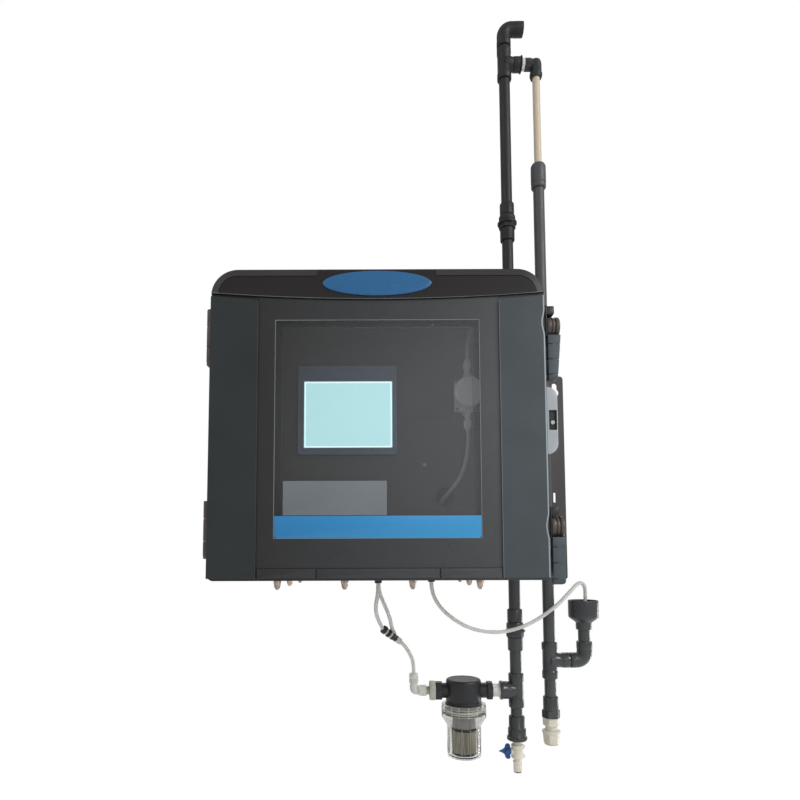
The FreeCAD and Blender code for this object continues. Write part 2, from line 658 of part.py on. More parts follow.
def hinge_pieces():
    """Body leaves, door leaves and pins of both hinges."""
    body_leaves, door_leaves, pins = [], [], []
    for middle in HINGE_Z:
        low, high = middle - HINGE_HIGH / 2, middle + HINGE_HIGH / 2
        cut_low, cut_high = middle - DOOR_KNUCKLE / 2, middle + DOOR_KNUCKLE / 2
        bore = rod(HINGE_PIN_R + RUNNING, V(HINGE_X, HINGE_Y, low - 1), V(HINGE_X, HINGE_Y, high + 1))
        held = rod(HINGE_PIN_R, V(HINGE_X, HINGE_Y, low - 1), V(HINGE_X, HINGE_Y, high + 1))
        leaf = box(-BODY_HALF_W - LEAF_THICK, -BODY_HALF_W, BODY_FRONT, BODY_FRONT + BODY_LEAF_LONG, low, high)
        web = box(HINGE_X - KNUCKLE_R, -BODY_HALF_W, BODY_FRONT, BODY_FRONT + LEAF_THICK, low, high)
        arm = box(HINGE_X - KNUCKLE_R, HINGE_X + KNUCKLE_R - 1, HINGE_Y, BODY_FRONT + LEAF_THICK, low, high)
        barrel = rod(KNUCKLE_R, V(HINGE_X, HINGE_Y, low), V(HINGE_X, HINGE_Y, high))
        gap = box(HINGE_X - 9, HINGE_X + 9, HINGE_Y - 9, BODY_FRONT - 0.5,
                  cut_low - APART, cut_high + APART)
        body_leaves.append(join(leaf, web, arm, barrel).cut([held, gap]))
        plate = box(-DOOR_HALF_W - LEAF_THICK, -DOOR_HALF_W, DOOR_FRONT + DOOR_SKIN + 1, HINGE_Y + 2,
                    cut_low, cut_high)
        knuckle = rod(KNUCKLE_R, V(HINGE_X, HINGE_Y, cut_low), V(HINGE_X, HINGE_Y, cut_high))
        door_leaves.append(join(plate, knuckle).cut(bore))
        pins.append(rod(HINGE_PIN_R, V(HINGE_X, HINGE_Y, low), V(HINGE_X, HINGE_Y, high)))
    return group(body_leaves), group(door_leaves), group(pins)


def latch_base(z):
    """A bracket on the cabinet's side, with an ear over the hub and the pin that the lever hangs on."""
    tab_out = LATCH_TAB_IN + LATCH_TAB
    front = LATCH_Y - LATCH_HUB_R
    tab = box(LATCH_TAB_IN, tab_out, front, LATCH_FOOT_Y, z - LATCH_HUB_R, z + LATCH_TAB_UP)
    foot = box(BODY_HALF_W, LATCH_TAB_IN, BODY_FRONT + 3, LATCH_FOOT_Y, z - LATCH_HUB_R, z + LATCH_TAB_UP)
    ear_y = LATCH_Y - LATCH_HUB_R + 2
    ear = box(LATCH_TAB_IN, LATCH_TAB_IN + LATCH_EAR_WIDE, ear_y, ear_y + LATCH_EAR_DEEP,
              z + LATCH_HUB_R + LATCH_EAR_GAP, z + LATCH_TAB_UP)
    far = tab_out + APART + LATCH_HUB_WIDE
    pin = rod(LATCH_PIN_R, V(tab_out, LATCH_Y, z), V(far + APART, LATCH_Y, z))
    cap = rod(LATCH_PIN_R + 2, V(far + APART, LATCH_Y, z), V(far + APART + 1.5, LATCH_Y, z))
    return join(tab, foot, ear, pin, cap)


def latch_lever(z):
    """Hub and ribbed blade, hanging down."""
    near = LATCH_TAB_IN + LATCH_TAB + APART
    far = near + LATCH_HUB_WIDE
    hub = rod(LATCH_HUB_R, V(near, LATCH_Y, z), V(far, LATCH_Y, z))
    y0, y1 = LATCH_Y - LATCH_HUB_R, LATCH_Y - LATCH_HUB_R + LATCH_LEVER_DEEP
    blade = box(near, far, y0, y1, z - LATCH_REACH, z)
    grooves = []
    for step in range(1, 4):
        groove_z = z - LATCH_HUB_R - step * (LATCH_REACH - LATCH_HUB_R) / 4
        grooves.append(box(near - 1, far + 1, y0 - 1, y0 + 1.5, groove_z - 1, groove_z + 1))
    bore = rod(LATCH_PIN_R + RUNNING, V(near - 1, LATCH_Y, z), V(far + 1, LATCH_Y, z))
    return join(hub, blade).cut(grooves + [bore])


def inner_panel():
    back = PANEL_FRONT + PANEL_THICK
    panel = box(-PANEL_HALF_W, PANEL_HALF_W, PANEL_FRONT, back, PANEL_BOTTOM, PANEL_TOP)
    cuts = [box(BEZEL_LEFT + MODULE_INSET, BEZEL_RIGHT - MODULE_INSET, PANEL_FRONT - 1, back + 1,
                BEZEL_BOTTOM + MODULE_INSET, BEZEL_TOP - MODULE_INSET)]
    for start, end in sensor_tube_holes():
        cuts.append(rod(TUBE_HOLE_R, start, end))
    for x in (-POST_X, POST_X):
        for z in (POST_LOW, POST_HIGH):
            cuts.append(rod(PANEL_SCREW_R / 2, V(x, PANEL_FRONT - 1, z), V(x, back + 1, z)))
    return panel.cut(cuts)


def panel_posts():
    """Posts from the back of the cabinet to the panel, each with its screw."""
    posts = []
    inside, back = BODY_BACK - BODY_WALL, PANEL_FRONT + PANEL_THICK
    for x in (-POST_X, POST_X):
        for z in (POST_LOW, POST_HIGH):
            posts.append(join(
                rod(POST_R, V(x, back, z), V(x, inside, z)),
                rod(PANEL_SCREW_R / 2, V(x, PANEL_FRONT, z), V(x, back, z)),
                rod(PANEL_SCREW_R, V(x, PANEL_FRONT - 2, z), V(x, PANEL_FRONT, z))))
    return group(posts)


def display():
    """Bezel with the module behind it, and the screen set into its face."""
    face = PANEL_FRONT - BEZEL_PROUD
    bezel = slab(BEZEL_LEFT, BEZEL_RIGHT, BEZEL_BOTTOM, BEZEL_TOP, 3.0, 3.0, face, PANEL_FRONT)
    inset = MODULE_INSET + APART
    module = box(BEZEL_LEFT + inset, BEZEL_RIGHT - inset, PANEL_FRONT, PANEL_FRONT + MODULE_DEEP,
                 BEZEL_BOTTOM + inset, BEZEL_TOP - inset)
    pocket = box(SCREEN_LEFT, SCREEN_RIGHT, face - 1, face + SCREEN_THICK, SCREEN_BOTTOM, SCREEN_TOP)
    screen = box(SCREEN_LEFT, SCREEN_RIGHT, face + 0.5, face + SCREEN_THICK, SCREEN_BOTTOM, SCREEN_TOP)
    return join(bezel, module).cut(pocket), screen


def control_board():
    """The board behind the display module, on four legs, with its larger chips."""
    y0 = PANEL_FRONT + MODULE_DEEP + BOARD_GAP
    y1 = y0 + BOARD_THICK
    left, right = BEZEL_LEFT + 2 * MODULE_INSET, BEZEL_RIGHT - 2 * MODULE_INSET
    bottom, top = BEZEL_BOTTOM + 2 * MODULE_INSET, BEZEL_TOP - 2 * MODULE_INSET
    pieces = [box(left, right, y0, y1, bottom, top)]
    for x in (left + 5, right - 5):
        for z in (bottom + 5, top - 5):
            pieces.append(rod(2.5, V(x, PANEL_FRONT + MODULE_DEEP, z), V(x, y0, z)))
    for step in range(3):
        x = left + 14 + step * 34
        pieces.append(box(x, x + 20, y1, y1 + 8, bottom + 14, bottom + 34))
        pieces.append(box(x, x + 26, y1, y1 + 12, top - 16, top - 4))
    return join(*pieces)


def power_supply():
    """Mounting rail on the cabinet's back wall, with the power supply clipped on it."""
    inside = BODY_BACK - BODY_WALL
    front = inside - RAIL_DEEP
    rail = box(RAIL_LEFT, RAIL_RIGHT, front, inside, RAIL_Z - RAIL_HALF, RAIL_Z + RAIL_HALF)
    supply = box(SUPPLY_LEFT, SUPPLY_LEFT + SUPPLY_WIDE, front - SUPPLY_DEEP, front,
                 RAIL_Z - SUPPLY_HIGH / 2, RAIL_Z + SUPPLY_HIGH / 2)
    terminals = []
    for step in range(6):
        x = SUPPLY_LEFT + SUPPLY_WIDE + 12 + step * 10
        terminals.append(box(x, x + 9, front - 42, front, RAIL_Z - 26, RAIL_Z + 26))
    return group([rail, supply] + terminals)


def sensor():
    """Square plate with the barrel and the flow cell, and the round cap."""
    plate_face = PANEL_FRONT - SENSOR_PLATE
    barrel_face = plate_face - SENSOR_BARREL
    plate = box(SENSOR_X - SENSOR_HALF_W, SENSOR_X + SENSOR_HALF_W, plate_face, PANEL_FRONT,
                SENSOR_Z - SENSOR_HALF_H, SENSOR_Z + SENSOR_HALF_H)
    barrel = rod(SENSOR_BARREL_R, V(SENSOR_X, plate_face, SENSOR_Z), V(SENSOR_X, barrel_face, SENSOR_Z))
    cell = box(SENSOR_X - CELL_HALF_W, SENSOR_X + CELL_HALF_W, SENSOR_PORT_Y - CELL_HALF_W, PANEL_FRONT,
               SENSOR_Z - CELL_REACH, SENSOR_Z + CELL_REACH)
    flow = rod(TUBE_BORE_R, V(SENSOR_X, SENSOR_PORT_Y, SENSOR_Z - CELL_REACH - 1),
               V(SENSOR_X, SENSOR_PORT_Y, SENSOR_Z + CELL_REACH + 1))
    cap = rod(SENSOR_CAP_R, V(SENSOR_X, barrel_face, SENSOR_Z),
              V(SENSOR_X, barrel_face - SENSOR_CAP, SENSOR_Z))
    return join(plate, barrel, cell).cut(flow), cap.makeChamfer(1.5, [
        e for e in cap.Edges if abs(e.CenterOfMass.y - barrel_face + SENSOR_CAP) < 0.01])


def sensor_fittings():
    """The compression fittings above and below the flow cell."""
    pieces = []
    for side in (-1, 1):
        def at(reach):
            return V(SENSOR_X, SENSOR_PORT_Y, SENSOR_Z + side * (CELL_REACH + reach))
        body = join(hex_bar(FITTING_SMALL_R + 1, at(0), at(6)), rod(FITTING_SMALL_R, at(6), at(10)),
                    hex_bar(FITTING_R + 0.6, at(10), at(FITTING_HIGH - 3)),
                    rod(FITTING_SMALL_R, at(FITTING_HIGH - 3), at(FITTING_HIGH)))
        pieces.append(body.cut(rod(TUBE_BORE_R, at(-1), at(FITTING_HIGH + 1))))
    return group(pieces)


def between(start, end, across, along, down):
    """A point part of the way from start to end, by its share in X, in Y and in Z."""
    way = end - start
    return start + V(way.x * across, way.y * along, way.z * down)


def sensor_upper_route():
    """Up from the cell, over in a loop, and back through the panel to the rear sample port."""
    mouth = V(SENSOR_X, SENSOR_PORT_Y, SENSOR_Z + CELL_REACH + FITTING_HIGH)
    port = V(SAMPLE_PORT_X, SAMPLE_PORT_Y[1], BULKHEAD_UP - BODY_HALF_H)
    loop = [mouth + V(0, 0, 20), mouth + V(3, 2, 40), mouth + V(9, 15, 53), mouth + V(17, 36, 55),
            mouth + V(22, 62, 44), mouth + V(20, 82, 16)]
    shares = ((-0.06, 0.68, 0.11), (0.11, 0.74, 0.28), (0.34, 0.79, 0.445), (0.57, 0.84, 0.6),
              (0.8, 0.9, 0.74), (0.95, 0.97, 0.86), (1, 1, 0.93))
    return [mouth] + loop + [between(mouth, port, *share) for share in shares] + [port]


def sensor_lower_route():
    """Down from the cell, and back through the panel to the drain port."""
    mouth = V(SENSOR_X, SENSOR_PORT_Y, SENSOR_Z - CELL_REACH - FITTING_HIGH)
    port = V(DRAIN_PORT_X, DRAIN_PORT_Y, BULKHEAD_UP - BODY_HALF_H)
    shares = ((0, 0, 0.09), (0.07, 0, 0.22), (0.25, 0, 0.35), (0.55, 0.03, 0.44), (0.82, 0.13, 0.51),
              (1, 0.3, 0.59), (1.09, 0.54, 0.67), (1.11, 0.77, 0.76), (1, 0.95, 0.86), (1, 1, 0.95))
    return [mouth] + [between(mouth, port, *share) for share in shares] + [port]


def sensor_tube_holes():
    """Where the sensor's tubes pass back through the inner panel."""
    holes = []
    for route in (sensor_upper_route(), sensor_lower_route()):
        for start, end in zip(route, route[1:]):
            if start.y < PANEL_FRONT < end.y:
                through = start + (end - start) * ((PANEL_FRONT - start.y) / (end.y - start.y))
                holes.append((through + FRONT, through - FRONT * (PANEL_THICK + 1)))
    return holes


def bulkheads():
    """Tube fittings through the gland plate, with a nut above and below it."""
    bottom = -BODY_HALF_H - GLAND_THICK
    fittings = []
    for x, y in bulkhead_places():
        fitting = join(
            rod(BULKHEAD_SHANK_R, V(x, y, bottom), V(x, y, -BODY_HALF_H)),
            hex_bar(BULKHEAD_R, V(x, y, bottom), V(x, y, bottom - 5)),
            rod(BULKHEAD_R - 2, V(x, y, bottom - 5), V(x, y, bottom - BULKHEAD_DOWN)),
            hex_bar(BULKHEAD_R, V(x, y, -BODY_HALF_H), V(x, y, -BODY_HALF_H + 5)),
            rod(BULKHEAD_R - 2, V(x, y, -BODY_HALF_H + 5), V(x, y, -BODY_HALF_H + BULKHEAD_UP)))
        fittings.append(fitting.cut(rod(TUBE_BORE_R, V(x, y, bottom - BULKHEAD_DOWN - 1),
                                        V(x, y, -BODY_HALF_H + BULKHEAD_UP + 1))))
    return group(fittings)


def at_riser(z):
    return V(RISER_X, PIPE_Y, z)


def at_drain(z):
    return V(DRAIN_X, PIPE_Y, z)


def pipe(start, end):
    return rod(PIPE_R, start, end).cut(rod(PIPE_BORE_R, start, end))


def socket_bore(mouth, inward):
    """The hole that a pipe's end is glued into, from its mouth."""
    return rod(PIPE_R + GLUED, mouth - inward, mouth + inward * SOCKET_DEEP)


def tee(middle, half, branch_way, branch_long, branch_r, branch_bore):
    low, high = middle - UP * half, middle + UP * half
    branch_end = middle + branch_way * branch_long
    body = join(rod(SOCKET_R, low, high), rod(branch_r, middle, branch_end))
    cuts = [
        socket_bore(low, UP), socket_bore(high, DOWN), rod(PIPE_BORE_R, low, high),
        rod(PIPE_BORE_R, middle, branch_end + branch_way),
        rod(branch_bore, branch_end - branch_way * SOCKET_DEEP, branch_end + branch_way),
    ]
    return body.cut(cuts)


def elbow(corner, side_way, side_long, up_way, up_long):
    side_end, up_end = corner + side_way * side_long, corner + up_way * up_long
    body = join(rod(SOCKET_R, corner, side_end), rod(SOCKET_R, corner, up_end),
                Part.makeSphere(SOCKET_R, corner))
    cuts = [rod(PIPE_BORE_R, corner, side_end), rod(PIPE_BORE_R, corner, up_end),
            Part.makeSphere(PIPE_BORE_R, corner),
            socket_bore(side_end, side_way * -1), socket_bore(up_end, up_way * -1)]
    return body.cut(cuts)


def weir_fitting():
    """Flange, threaded nipple, hexagon and elbow from the overflow tee down to the overflow tube."""
    x = RISER_X + TOP_BRANCH_LONG
    corner = V(DRAIN_X, PIPE_Y, TOP_BRANCH_Z)

    def along(distance):
        return V(x + distance, PIPE_Y, TOP_BRANCH_Z)
    body = join(
        rod(WEIR_THREAD_R, along(1 - SOCKET_DEEP), along(9)), rod(WEIR_FLANGE_R, along(0), along(2)),
        hex_bar(WEIR_HEX_R, along(8), along(20)), rod(WEIR_HEX_R - 2, along(20), corner),
        Part.makeSphere(WEIR_LEG_R, corner), rod(WEIR_LEG_R, corner, at_drain(WEIR_BOTTOM)))
    cuts = [rod(OVERFLOW_BORE_R, along(-SOCKET_DEEP), corner),
            rod(OVERFLOW_BORE_R, corner, at_drain(WEIR_BOTTOM)),
            rod(OVERFLOW_TUBE_R + GLUED, at_drain(WEIR_BOTTOM + WEIR_GRIP), at_drain(WEIR_BOTTOM - 1))]
    return body.cut(cuts)


def overflow_tube():
    top, bottom = at_drain(WEIR_BOTTOM + WEIR_GRIP), at_drain(REDUCER_TOP - REDUCER_GRIP)
    return rod(OVERFLOW_TUBE_R, bottom, top).cut(rod(OVERFLOW_BORE_R, bottom, top))


def drain_reducer():
    low, high = at_drain(REDUCER_BOTTOM), at_drain(REDUCER_TOP)
    body = rod(REDUCER_R, low, high)
    rims = [e for e in body.Edges if e.CenterOfMass.z > REDUCER_TOP - 0.01]
    body = body.makeChamfer(2.0, rims)
    return body.cut([socket_bore(low, UP), rod(OVERFLOW_BORE_R, low, high),
                     rod(OVERFLOW_TUBE_R + GLUED, at_drain(REDUCER_TOP - REDUCER_GRIP), high + UP)])


def union_ends(z):
    """The socketed body below and the tail above, which meet inside the nut."""
    face = z + UNION_FACE
    step = UNION_NUT_HALF + 1
    body = turned([(PIPE_BORE_R, z - UNION_HALF + SOCKET_DEEP), (PIPE_R + GLUED, z - UNION_HALF + SOCKET_DEEP),
                   (PIPE_R + GLUED, z - UNION_HALF), (SOCKET_R, z - UNION_HALF), (SOCKET_R, z - step),
                   (UNION_SLEEVE_R, z - step), (UNION_SLEEVE_R, face), (PIPE_BORE_R, face)], RISER_X, PIPE_Y)
    top = face + UNION_FLANGE
    tail = turned([(PIPE_BORE_R, face), (UNION_SLEEVE_R, face), (UNION_SLEEVE_R, top), (UNION_NECK_R, top),
                   (UNION_NECK_R, z + step), (SOCKET_R, z + step), (SOCKET_R, z + UNION_HALF),
                   (PIPE_R + GLUED, z + UNION_HALF), (PIPE_R + GLUED, z + UNION_HALF - SOCKET_DEEP),
                   (PIPE_BORE_R, z + UNION_HALF - SOCKET_DEEP)], RISER_X, PIPE_Y)
    return [body, tail]


def union_nut(z):
    low, high = z - UNION_NUT_HALF, z + UNION_NUT_HALF
    lip = z + UNION_FACE + UNION_FLANGE + APART
    outside = join(hex_bar(UNION_NUT_R + 0.8, at_riser(low), at_riser(z)),
                   rod(UNION_NUT_R, at_riser(z - UNION_RING), at_riser(high)),
                   rod(UNION_RING_R, at_riser(z - UNION_RING), at_riser(z)))
    return outside.cut([rod(UNION_SLEEVE_R + RUNNING, at_riser(low - 1), at_riser(lip)),
                        rod(UNION_NECK_R + RUNNING, at_riser(lip), at_riser(high + 1))])


def riser_pipes():
    upper, lower = UNION_Z
    grip = UNION_HALF - SOCKET_DEEP
    sample_top, sample_bottom = SAMPLE_Z + SAMPLE_TEE_HALF, SAMPLE_Z - SAMPLE_TEE_HALF
    spans = [
        (TOP_BRANCH_Z + TOP_TEE_HALF - SOCKET_DEEP, VENT_Z - VENT_LEG + SOCKET_DEEP),
        (upper + grip, TOP_BRANCH_Z - TOP_TEE_HALF + SOCKET_DEEP),
        (lower + grip, upper - grip),
        (sample_top - SOCKET_DEEP, lower - grip),
        (ADAPTER_TOP - SOCKET_DEEP, sample_bottom + SOCKET_DEEP),
    ]
    return group([pipe(at_riser(low), at_riser(high)) for low, high in spans])


def inlet_adapter():
    return turned([
        (PIPE_R + GLUED, ADAPTER_TOP), (SOCKET_R + 0.6, ADAPTER_TOP), (SOCKET_R + 0.6, ADAPTER_STEP),
        (SOCKET_R + 2.4, ADAPTER_STEP), (SOCKET_R + 2.4, ADAPTER_FLANGE), (ADAPTER_FLANGE_R, ADAPTER_FLANGE),
        (ADAPTER_FLANGE_R, ADAPTER_BOTTOM + 2), (ADAPTER_FLANGE_R - 2, ADAPTER_BOTTOM),
        (VALVE_BORE_R, ADAPTER_BOTTOM), (VALVE_BORE_R, ADAPTER_STEP), (PIPE_BORE_R, ADAPTER_TOP - SOCKET_DEEP),
        (PIPE_R + GLUED, ADAPTER_TOP - SOCKET_DEEP)], RISER_X, PIPE_Y)


def valve_body():
    middle = (VALVE_TOP + VALVE_BOTTOM) / 2
    neck = VALVE_COLLET_R - 1.5
    narrow = VALVE_BORE_R - 0.8
    body = turned([
        (narrow, ADAPTER_BOTTOM), (VALVE_STEM_R, ADAPTER_BOTTOM), (VALVE_STEM_R, VALVE_TOP),
        (VALVE_R, VALVE_TOP - 2), (VALVE_R - 1.2, middle), (VALVE_R, VALVE_BOTTOM + 2), (neck, VALVE_BOTTOM),
        (neck, VALVE_BOTTOM - 3.5), (VALVE_COLLET_R, VALVE_BOTTOM - 3.5), (VALVE_COLLET_R, VALVE_END + 2),
        (neck, VALVE_END + 2), (neck, VALVE_END), (VALVE_BORE_R, VALVE_END),
        (VALVE_BORE_R, VALVE_END + VALVE_BORE_DEEP), (narrow, VALVE_END + VALVE_BORE_DEEP)], RISER_X, PIPE_Y)
    boss = rod(LEVER_HUB_R, V(RISER_X - VALVE_R + 2, PIPE_Y, middle), V(RISER_X - VALVE_R - 1, PIPE_Y, middle))
    lug = box(RISER_X, RISER_X + VALVE_R + 1.5, PIPE_Y - LEVER_STEM_R, PIPE_Y + LEVER_STEM_R,
              VALVE_BOTTOM + 2, VALVE_TOP - 3)
    lug = lug.cut(rod(narrow + 1, at_riser(VALVE_BOTTOM), at_riser(VALVE_TOP)))
    bore = rod(LEVER_STEM_R + RUNNING, V(RISER_X - VALVE_R - 2, PIPE_Y, middle),
               V(RISER_X - narrow - 2, PIPE_Y, middle))
    return join(body, lug, boss).cut(bore)


def valve_lever():
    """Butterfly lever on the valve's left side, along the flow when open."""
    middle = (VALVE_TOP + VALVE_BOTTOM) / 2
    near = RISER_X - VALVE_R - 1 - APART
    stem = rod(LEVER_STEM_R, V(near + 5, PIPE_Y, middle), V(near, PIPE_Y, middle))
    hub = rod(LEVER_HUB_R, V(near, PIPE_Y, middle), V(near - 8, PIPE_Y, middle))
    points = [V(near, PIPE_Y, middle - LEVER_LONG), V(near - 7, PIPE_Y, middle - LEVER_LONG + 2),
              V(near - 11, PIPE_Y, middle - 5), V(near - 20, PIPE_Y, middle), V(near - 11, PIPE_Y, middle + 5),
              V(near - 7, PIPE_Y, middle + LEVER_LONG), V(near - 4, PIPE_Y, middle + LEVER_LONG),
              V(near, PIPE_Y, middle + 5)]
    blade = Part.Face(Part.makePolygon(points + points[:1])).extrude(V(0, LEVER_THICK, 0))
    blade.translate(V(0, -LEVER_THICK / 2, 0))
    return join(stem, hub, blade)


def branch_elbow_place():
    """The funnel elbow's corner, and where its socket faces the drain tee."""
    mouth = DRAIN_X + DRAIN_BRANCH_LONG + JOINT_LINE
    return V(FUNNEL_X, PIPE_Y, DRAIN_TEE_Z), FUNNEL_X - mouth


def drain_pipes():
    """Drain column above and below its tee, the stub to the elbow and the funnel's pipe."""
    tee_top, tee_bottom = DRAIN_TEE_Z + DRAIN_TEE_HALF, DRAIN_TEE_Z - DRAIN_TEE_HALF
    corner, side_long = branch_elbow_place()
    branch_end = DRAIN_X + DRAIN_BRANCH_LONG
    return group([
        pipe(at_drain(tee_top - SOCKET_DEEP), at_drain(REDUCER_BOTTOM + SOCKET_DEEP)),
        pipe(at_drain(DRAIN_ADAPTER_TOP - SOCKET_DEEP), at_drain(tee_bottom + SOCKET_DEEP)),
        pipe(V(branch_end - SOCKET_DEEP, PIPE_Y, DRAIN_TEE_Z),
             V(corner.x - side_long + SOCKET_DEEP, PIPE_Y, DRAIN_TEE_Z)),
        pipe(V(FUNNEL_X, PIPE_Y, FUNNEL_ELBOW_TOP - SOCKET_DEEP), V(FUNNEL_X, PIPE_Y, FUNNEL_NECK_TOP)),
    ])


def funnel():
    inner = FUNNEL_R - FUNNEL_WALL
    return turned([
        (SOCKET_R + 0.4, FUNNEL_NECK_BOTTOM), (SOCKET_R + 0.4, FUNNEL_NECK_TOP), (FUNNEL_R, FUNNEL_CUP_BOTTOM),
        (FUNNEL_R, FUNNEL_TOP), (inner, FUNNEL_TOP), (inner, FUNNEL_CUP_BOTTOM + FUNNEL_WALL),
        (PIPE_BORE_R, FUNNEL_NECK_TOP + FUNNEL_WALL), (PIPE_BORE_R, FUNNEL_NECK_TOP),
        (PIPE_R + GLUED, FUNNEL_NECK_TOP), (PIPE_R + GLUED, FUNNEL_NECK_BOTTOM)], FUNNEL_X, PIPE_Y)


def drain_adapter():
    socket = rod(DRAIN_TAIL_R, at_drain(DRAIN_HEX_TOP), at_drain(DRAIN_ADAPTER_TOP))
    nut = hex_bar(DRAIN_HEX_R, at_drain(DRAIN_HEX_BOTTOM), at_drain(DRAIN_HEX_TOP))
    return join(socket, nut).cut([socket_bore(at_drain(DRAIN_ADAPTER_TOP), DOWN),
                                  rod(DRAIN_OUT_R, at_drain(DRAIN_HEX_BOTTOM), at_drain(DRAIN_ADAPTER_TOP))])


def drain_tail():
    """White outlet fitting, which the nut below turns on."""
    shoulder = DRAIN_NUT_TOP + 6
    lip = DRAIN_END + 2
    return turned([
        (DRAIN_OUT_R - 1, DRAIN_HEX_BOTTOM), (DRAIN_TAIL_R, DRAIN_HEX_BOTTOM), (DRAIN_TAIL_R, shoulder),
        (DRAIN_TAIL_END_R, shoulder), (DRAIN_TAIL_END_R, lip), (DRAIN_TAIL_END_R + 2, lip),
        (DRAIN_TAIL_END_R + 2, DRAIN_END), (DRAIN_OUT_R, DRAIN_END), (DRAIN_OUT_R, DRAIN_END + DRAIN_OUT_DEEP),
        (DRAIN_OUT_R - 1, DRAIN_END + DRAIN_OUT_DEEP)], DRAIN_X, PIPE_Y)


def drain_nut():
    low, high = at_drain(DRAIN_END + 2 + APART), at_drain(DRAIN_NUT_TOP)
    return hex_bar(DRAIN_NUT_R, low, high).cut(rod(DRAIN_TAIL_END_R + RUNNING, low + DOWN, high + UP))


def along_filter(distance):
    """A point on the strainer's port line, measured to the right of its middle."""
    return V(FILTER_X + distance, PIPE_Y, SAMPLE_Z)


def at_filter(z):
    return V(FILTER_X, PIPE_Y, z)


def filter_head():
    body = rod(FILTER_HEAD_R, at_filter(BOWL_TOP), at_filter(FILTER_HEAD_TOP))
    top_rim = [e for e in body.Edges if e.CenterOfMass.z > FILTER_HEAD_TOP - 0.01]
    body = body.makeChamfer(2.5, top_rim)
    collar_in = FILTER_FACE - FILTER_NUT
    skirt = rod(HEAD_SKIRT_R, at_filter(HEAD_SKIRT_BOTTOM), at_filter(BOWL_TOP + APART))
    skirt = skirt.cut(rod(HEAD_SKIRT_R - 4, at_filter(HEAD_SKIRT_BOTTOM - 1), at_filter(BOWL_TOP - 4)))
    spigot = rod(MESH_R / 2, at_filter(MESH_TOP), at_filter(BOWL_TOP))
    pieces = [body, skirt, spigot, rod(FILTER_NECK_R - 1.2, along_filter(-collar_in), along_filter(collar_in))]
    for side in (-1, 1):
        pieces.append(hex_bar(FILTER_NUT_R, along_filter(side * collar_in), along_filter(side * FILTER_FACE)))
    flow = MESH_R / 4
    inlet = MESH_R + 2
    cuts = [rod(flow, along_filter(-FILTER_FACE - 1), along_filter(0)),
            rod(flow, at_filter(MESH_TOP - 1), along_filter(0)),
            rod(flow, along_filter(inlet), along_filter(FILTER_FACE + 1)),
            rod(flow / 2, V(FILTER_X + inlet, PIPE_Y, BOWL_TOP - 6), along_filter(inlet))]
    for side in (-1, 1):
        cuts.append(rod(NIPPLE_R + GLUED, along_filter(side * (FILTER_FACE - NIPPLE_GRIP)),
                        along_filter(side * (FILTER_FACE + 1))))
    return join(*pieces).cut(cuts)


def filter_bowl():
    inner = BOWL_R - BOWL_WALL
    thread = HEAD_SKIRT_R + RUNNING
    seat = HEAD_SKIRT_BOTTOM - APART
    return turned([
        (thread, BOWL_TOP), (BOWL_FLANGE_R, BOWL_TOP), (BOWL_FLANGE_R, BOWL_FLANGE_BOTTOM),
        (BOWL_R + 2, BOWL_SHOULDER), (BOWL_R, BOWL_SHOULDER), (BOWL_R, BOWL_BOTTOM + 3),
        (BOWL_R - 3, BOWL_BOTTOM), (0, BOWL_BOTTOM), (0, BOWL_BOTTOM + BOWL_WALL),
        (inner, BOWL_BOTTOM + BOWL_WALL),
        (inner, seat - 8), (inner + 2, seat), (thread, seat)], FILTER_X, PIPE_Y)


def filter_mesh():
    """Wire mesh sleeve between two end caps, open into the spigot at the top."""
    inner = MESH_R - MESH_WALL
    return turned([
        (MESH_R / 4, MESH_TOP), (MESH_R, MESH_TOP), (MESH_R, MESH_TOP - MESH_CAP),
        (MESH_R - 0.5, MESH_TOP - MESH_CAP),
        (MESH_R - 0.5, MESH_BOTTOM + MESH_CAP), (MESH_R, MESH_BOTTOM + MESH_CAP), (MESH_R, MESH_BOTTOM),
        (0, MESH_BOTTOM), (0, MESH_BOTTOM + MESH_CAP), (inner, MESH_BOTTOM + MESH_CAP),
        (inner, MESH_TOP - MESH_CAP), (MESH_R / 4, MESH_TOP - MESH_CAP)], FILTER_X, PIPE_Y)


def filter_nipple():
    start, end = FILTER_FACE, RISER_X - SAMPLE_BRANCH_LONG - FILTER_X
    collar = rod(NIPPLE_R + 2, along_filter(start), along_filter(end))
    thread = rod(NIPPLE_R, along_filter(start - NIPPLE_GRIP), along_filter(end + NIPPLE_GRIP))
    bore = rod(MESH_R / 4, along_filter(start - SOCKET_DEEP), along_filter(end + SOCKET_DEEP))
    return join(collar, thread).cut(bore)


def filter_adapter():
    """Grey nut on the strainer's left port, with a neck for the elbow."""
    face = -FILTER_FACE
    nut = hex_bar(FILTER_NUT_R, along_filter(face - ADAPTER_NUT), along_filter(face))
    thread = rod(NIPPLE_R, along_filter(face), along_filter(face + NIPPLE_GRIP))
    neck = rod(ELBOW_LEG_R, along_filter(face - ADAPTER_NUT), elbow_nut_face())
    return join(nut, thread, neck).cut(rod(TUBE_BORE_R, elbow_nut_face(), along_filter(face + SOCKET_DEEP)))


def elbow_nut_face():
    return V(ELBOW_X + ELBOW_NUT_START + ELBOW_NUT, PIPE_Y, SAMPLE_Z)


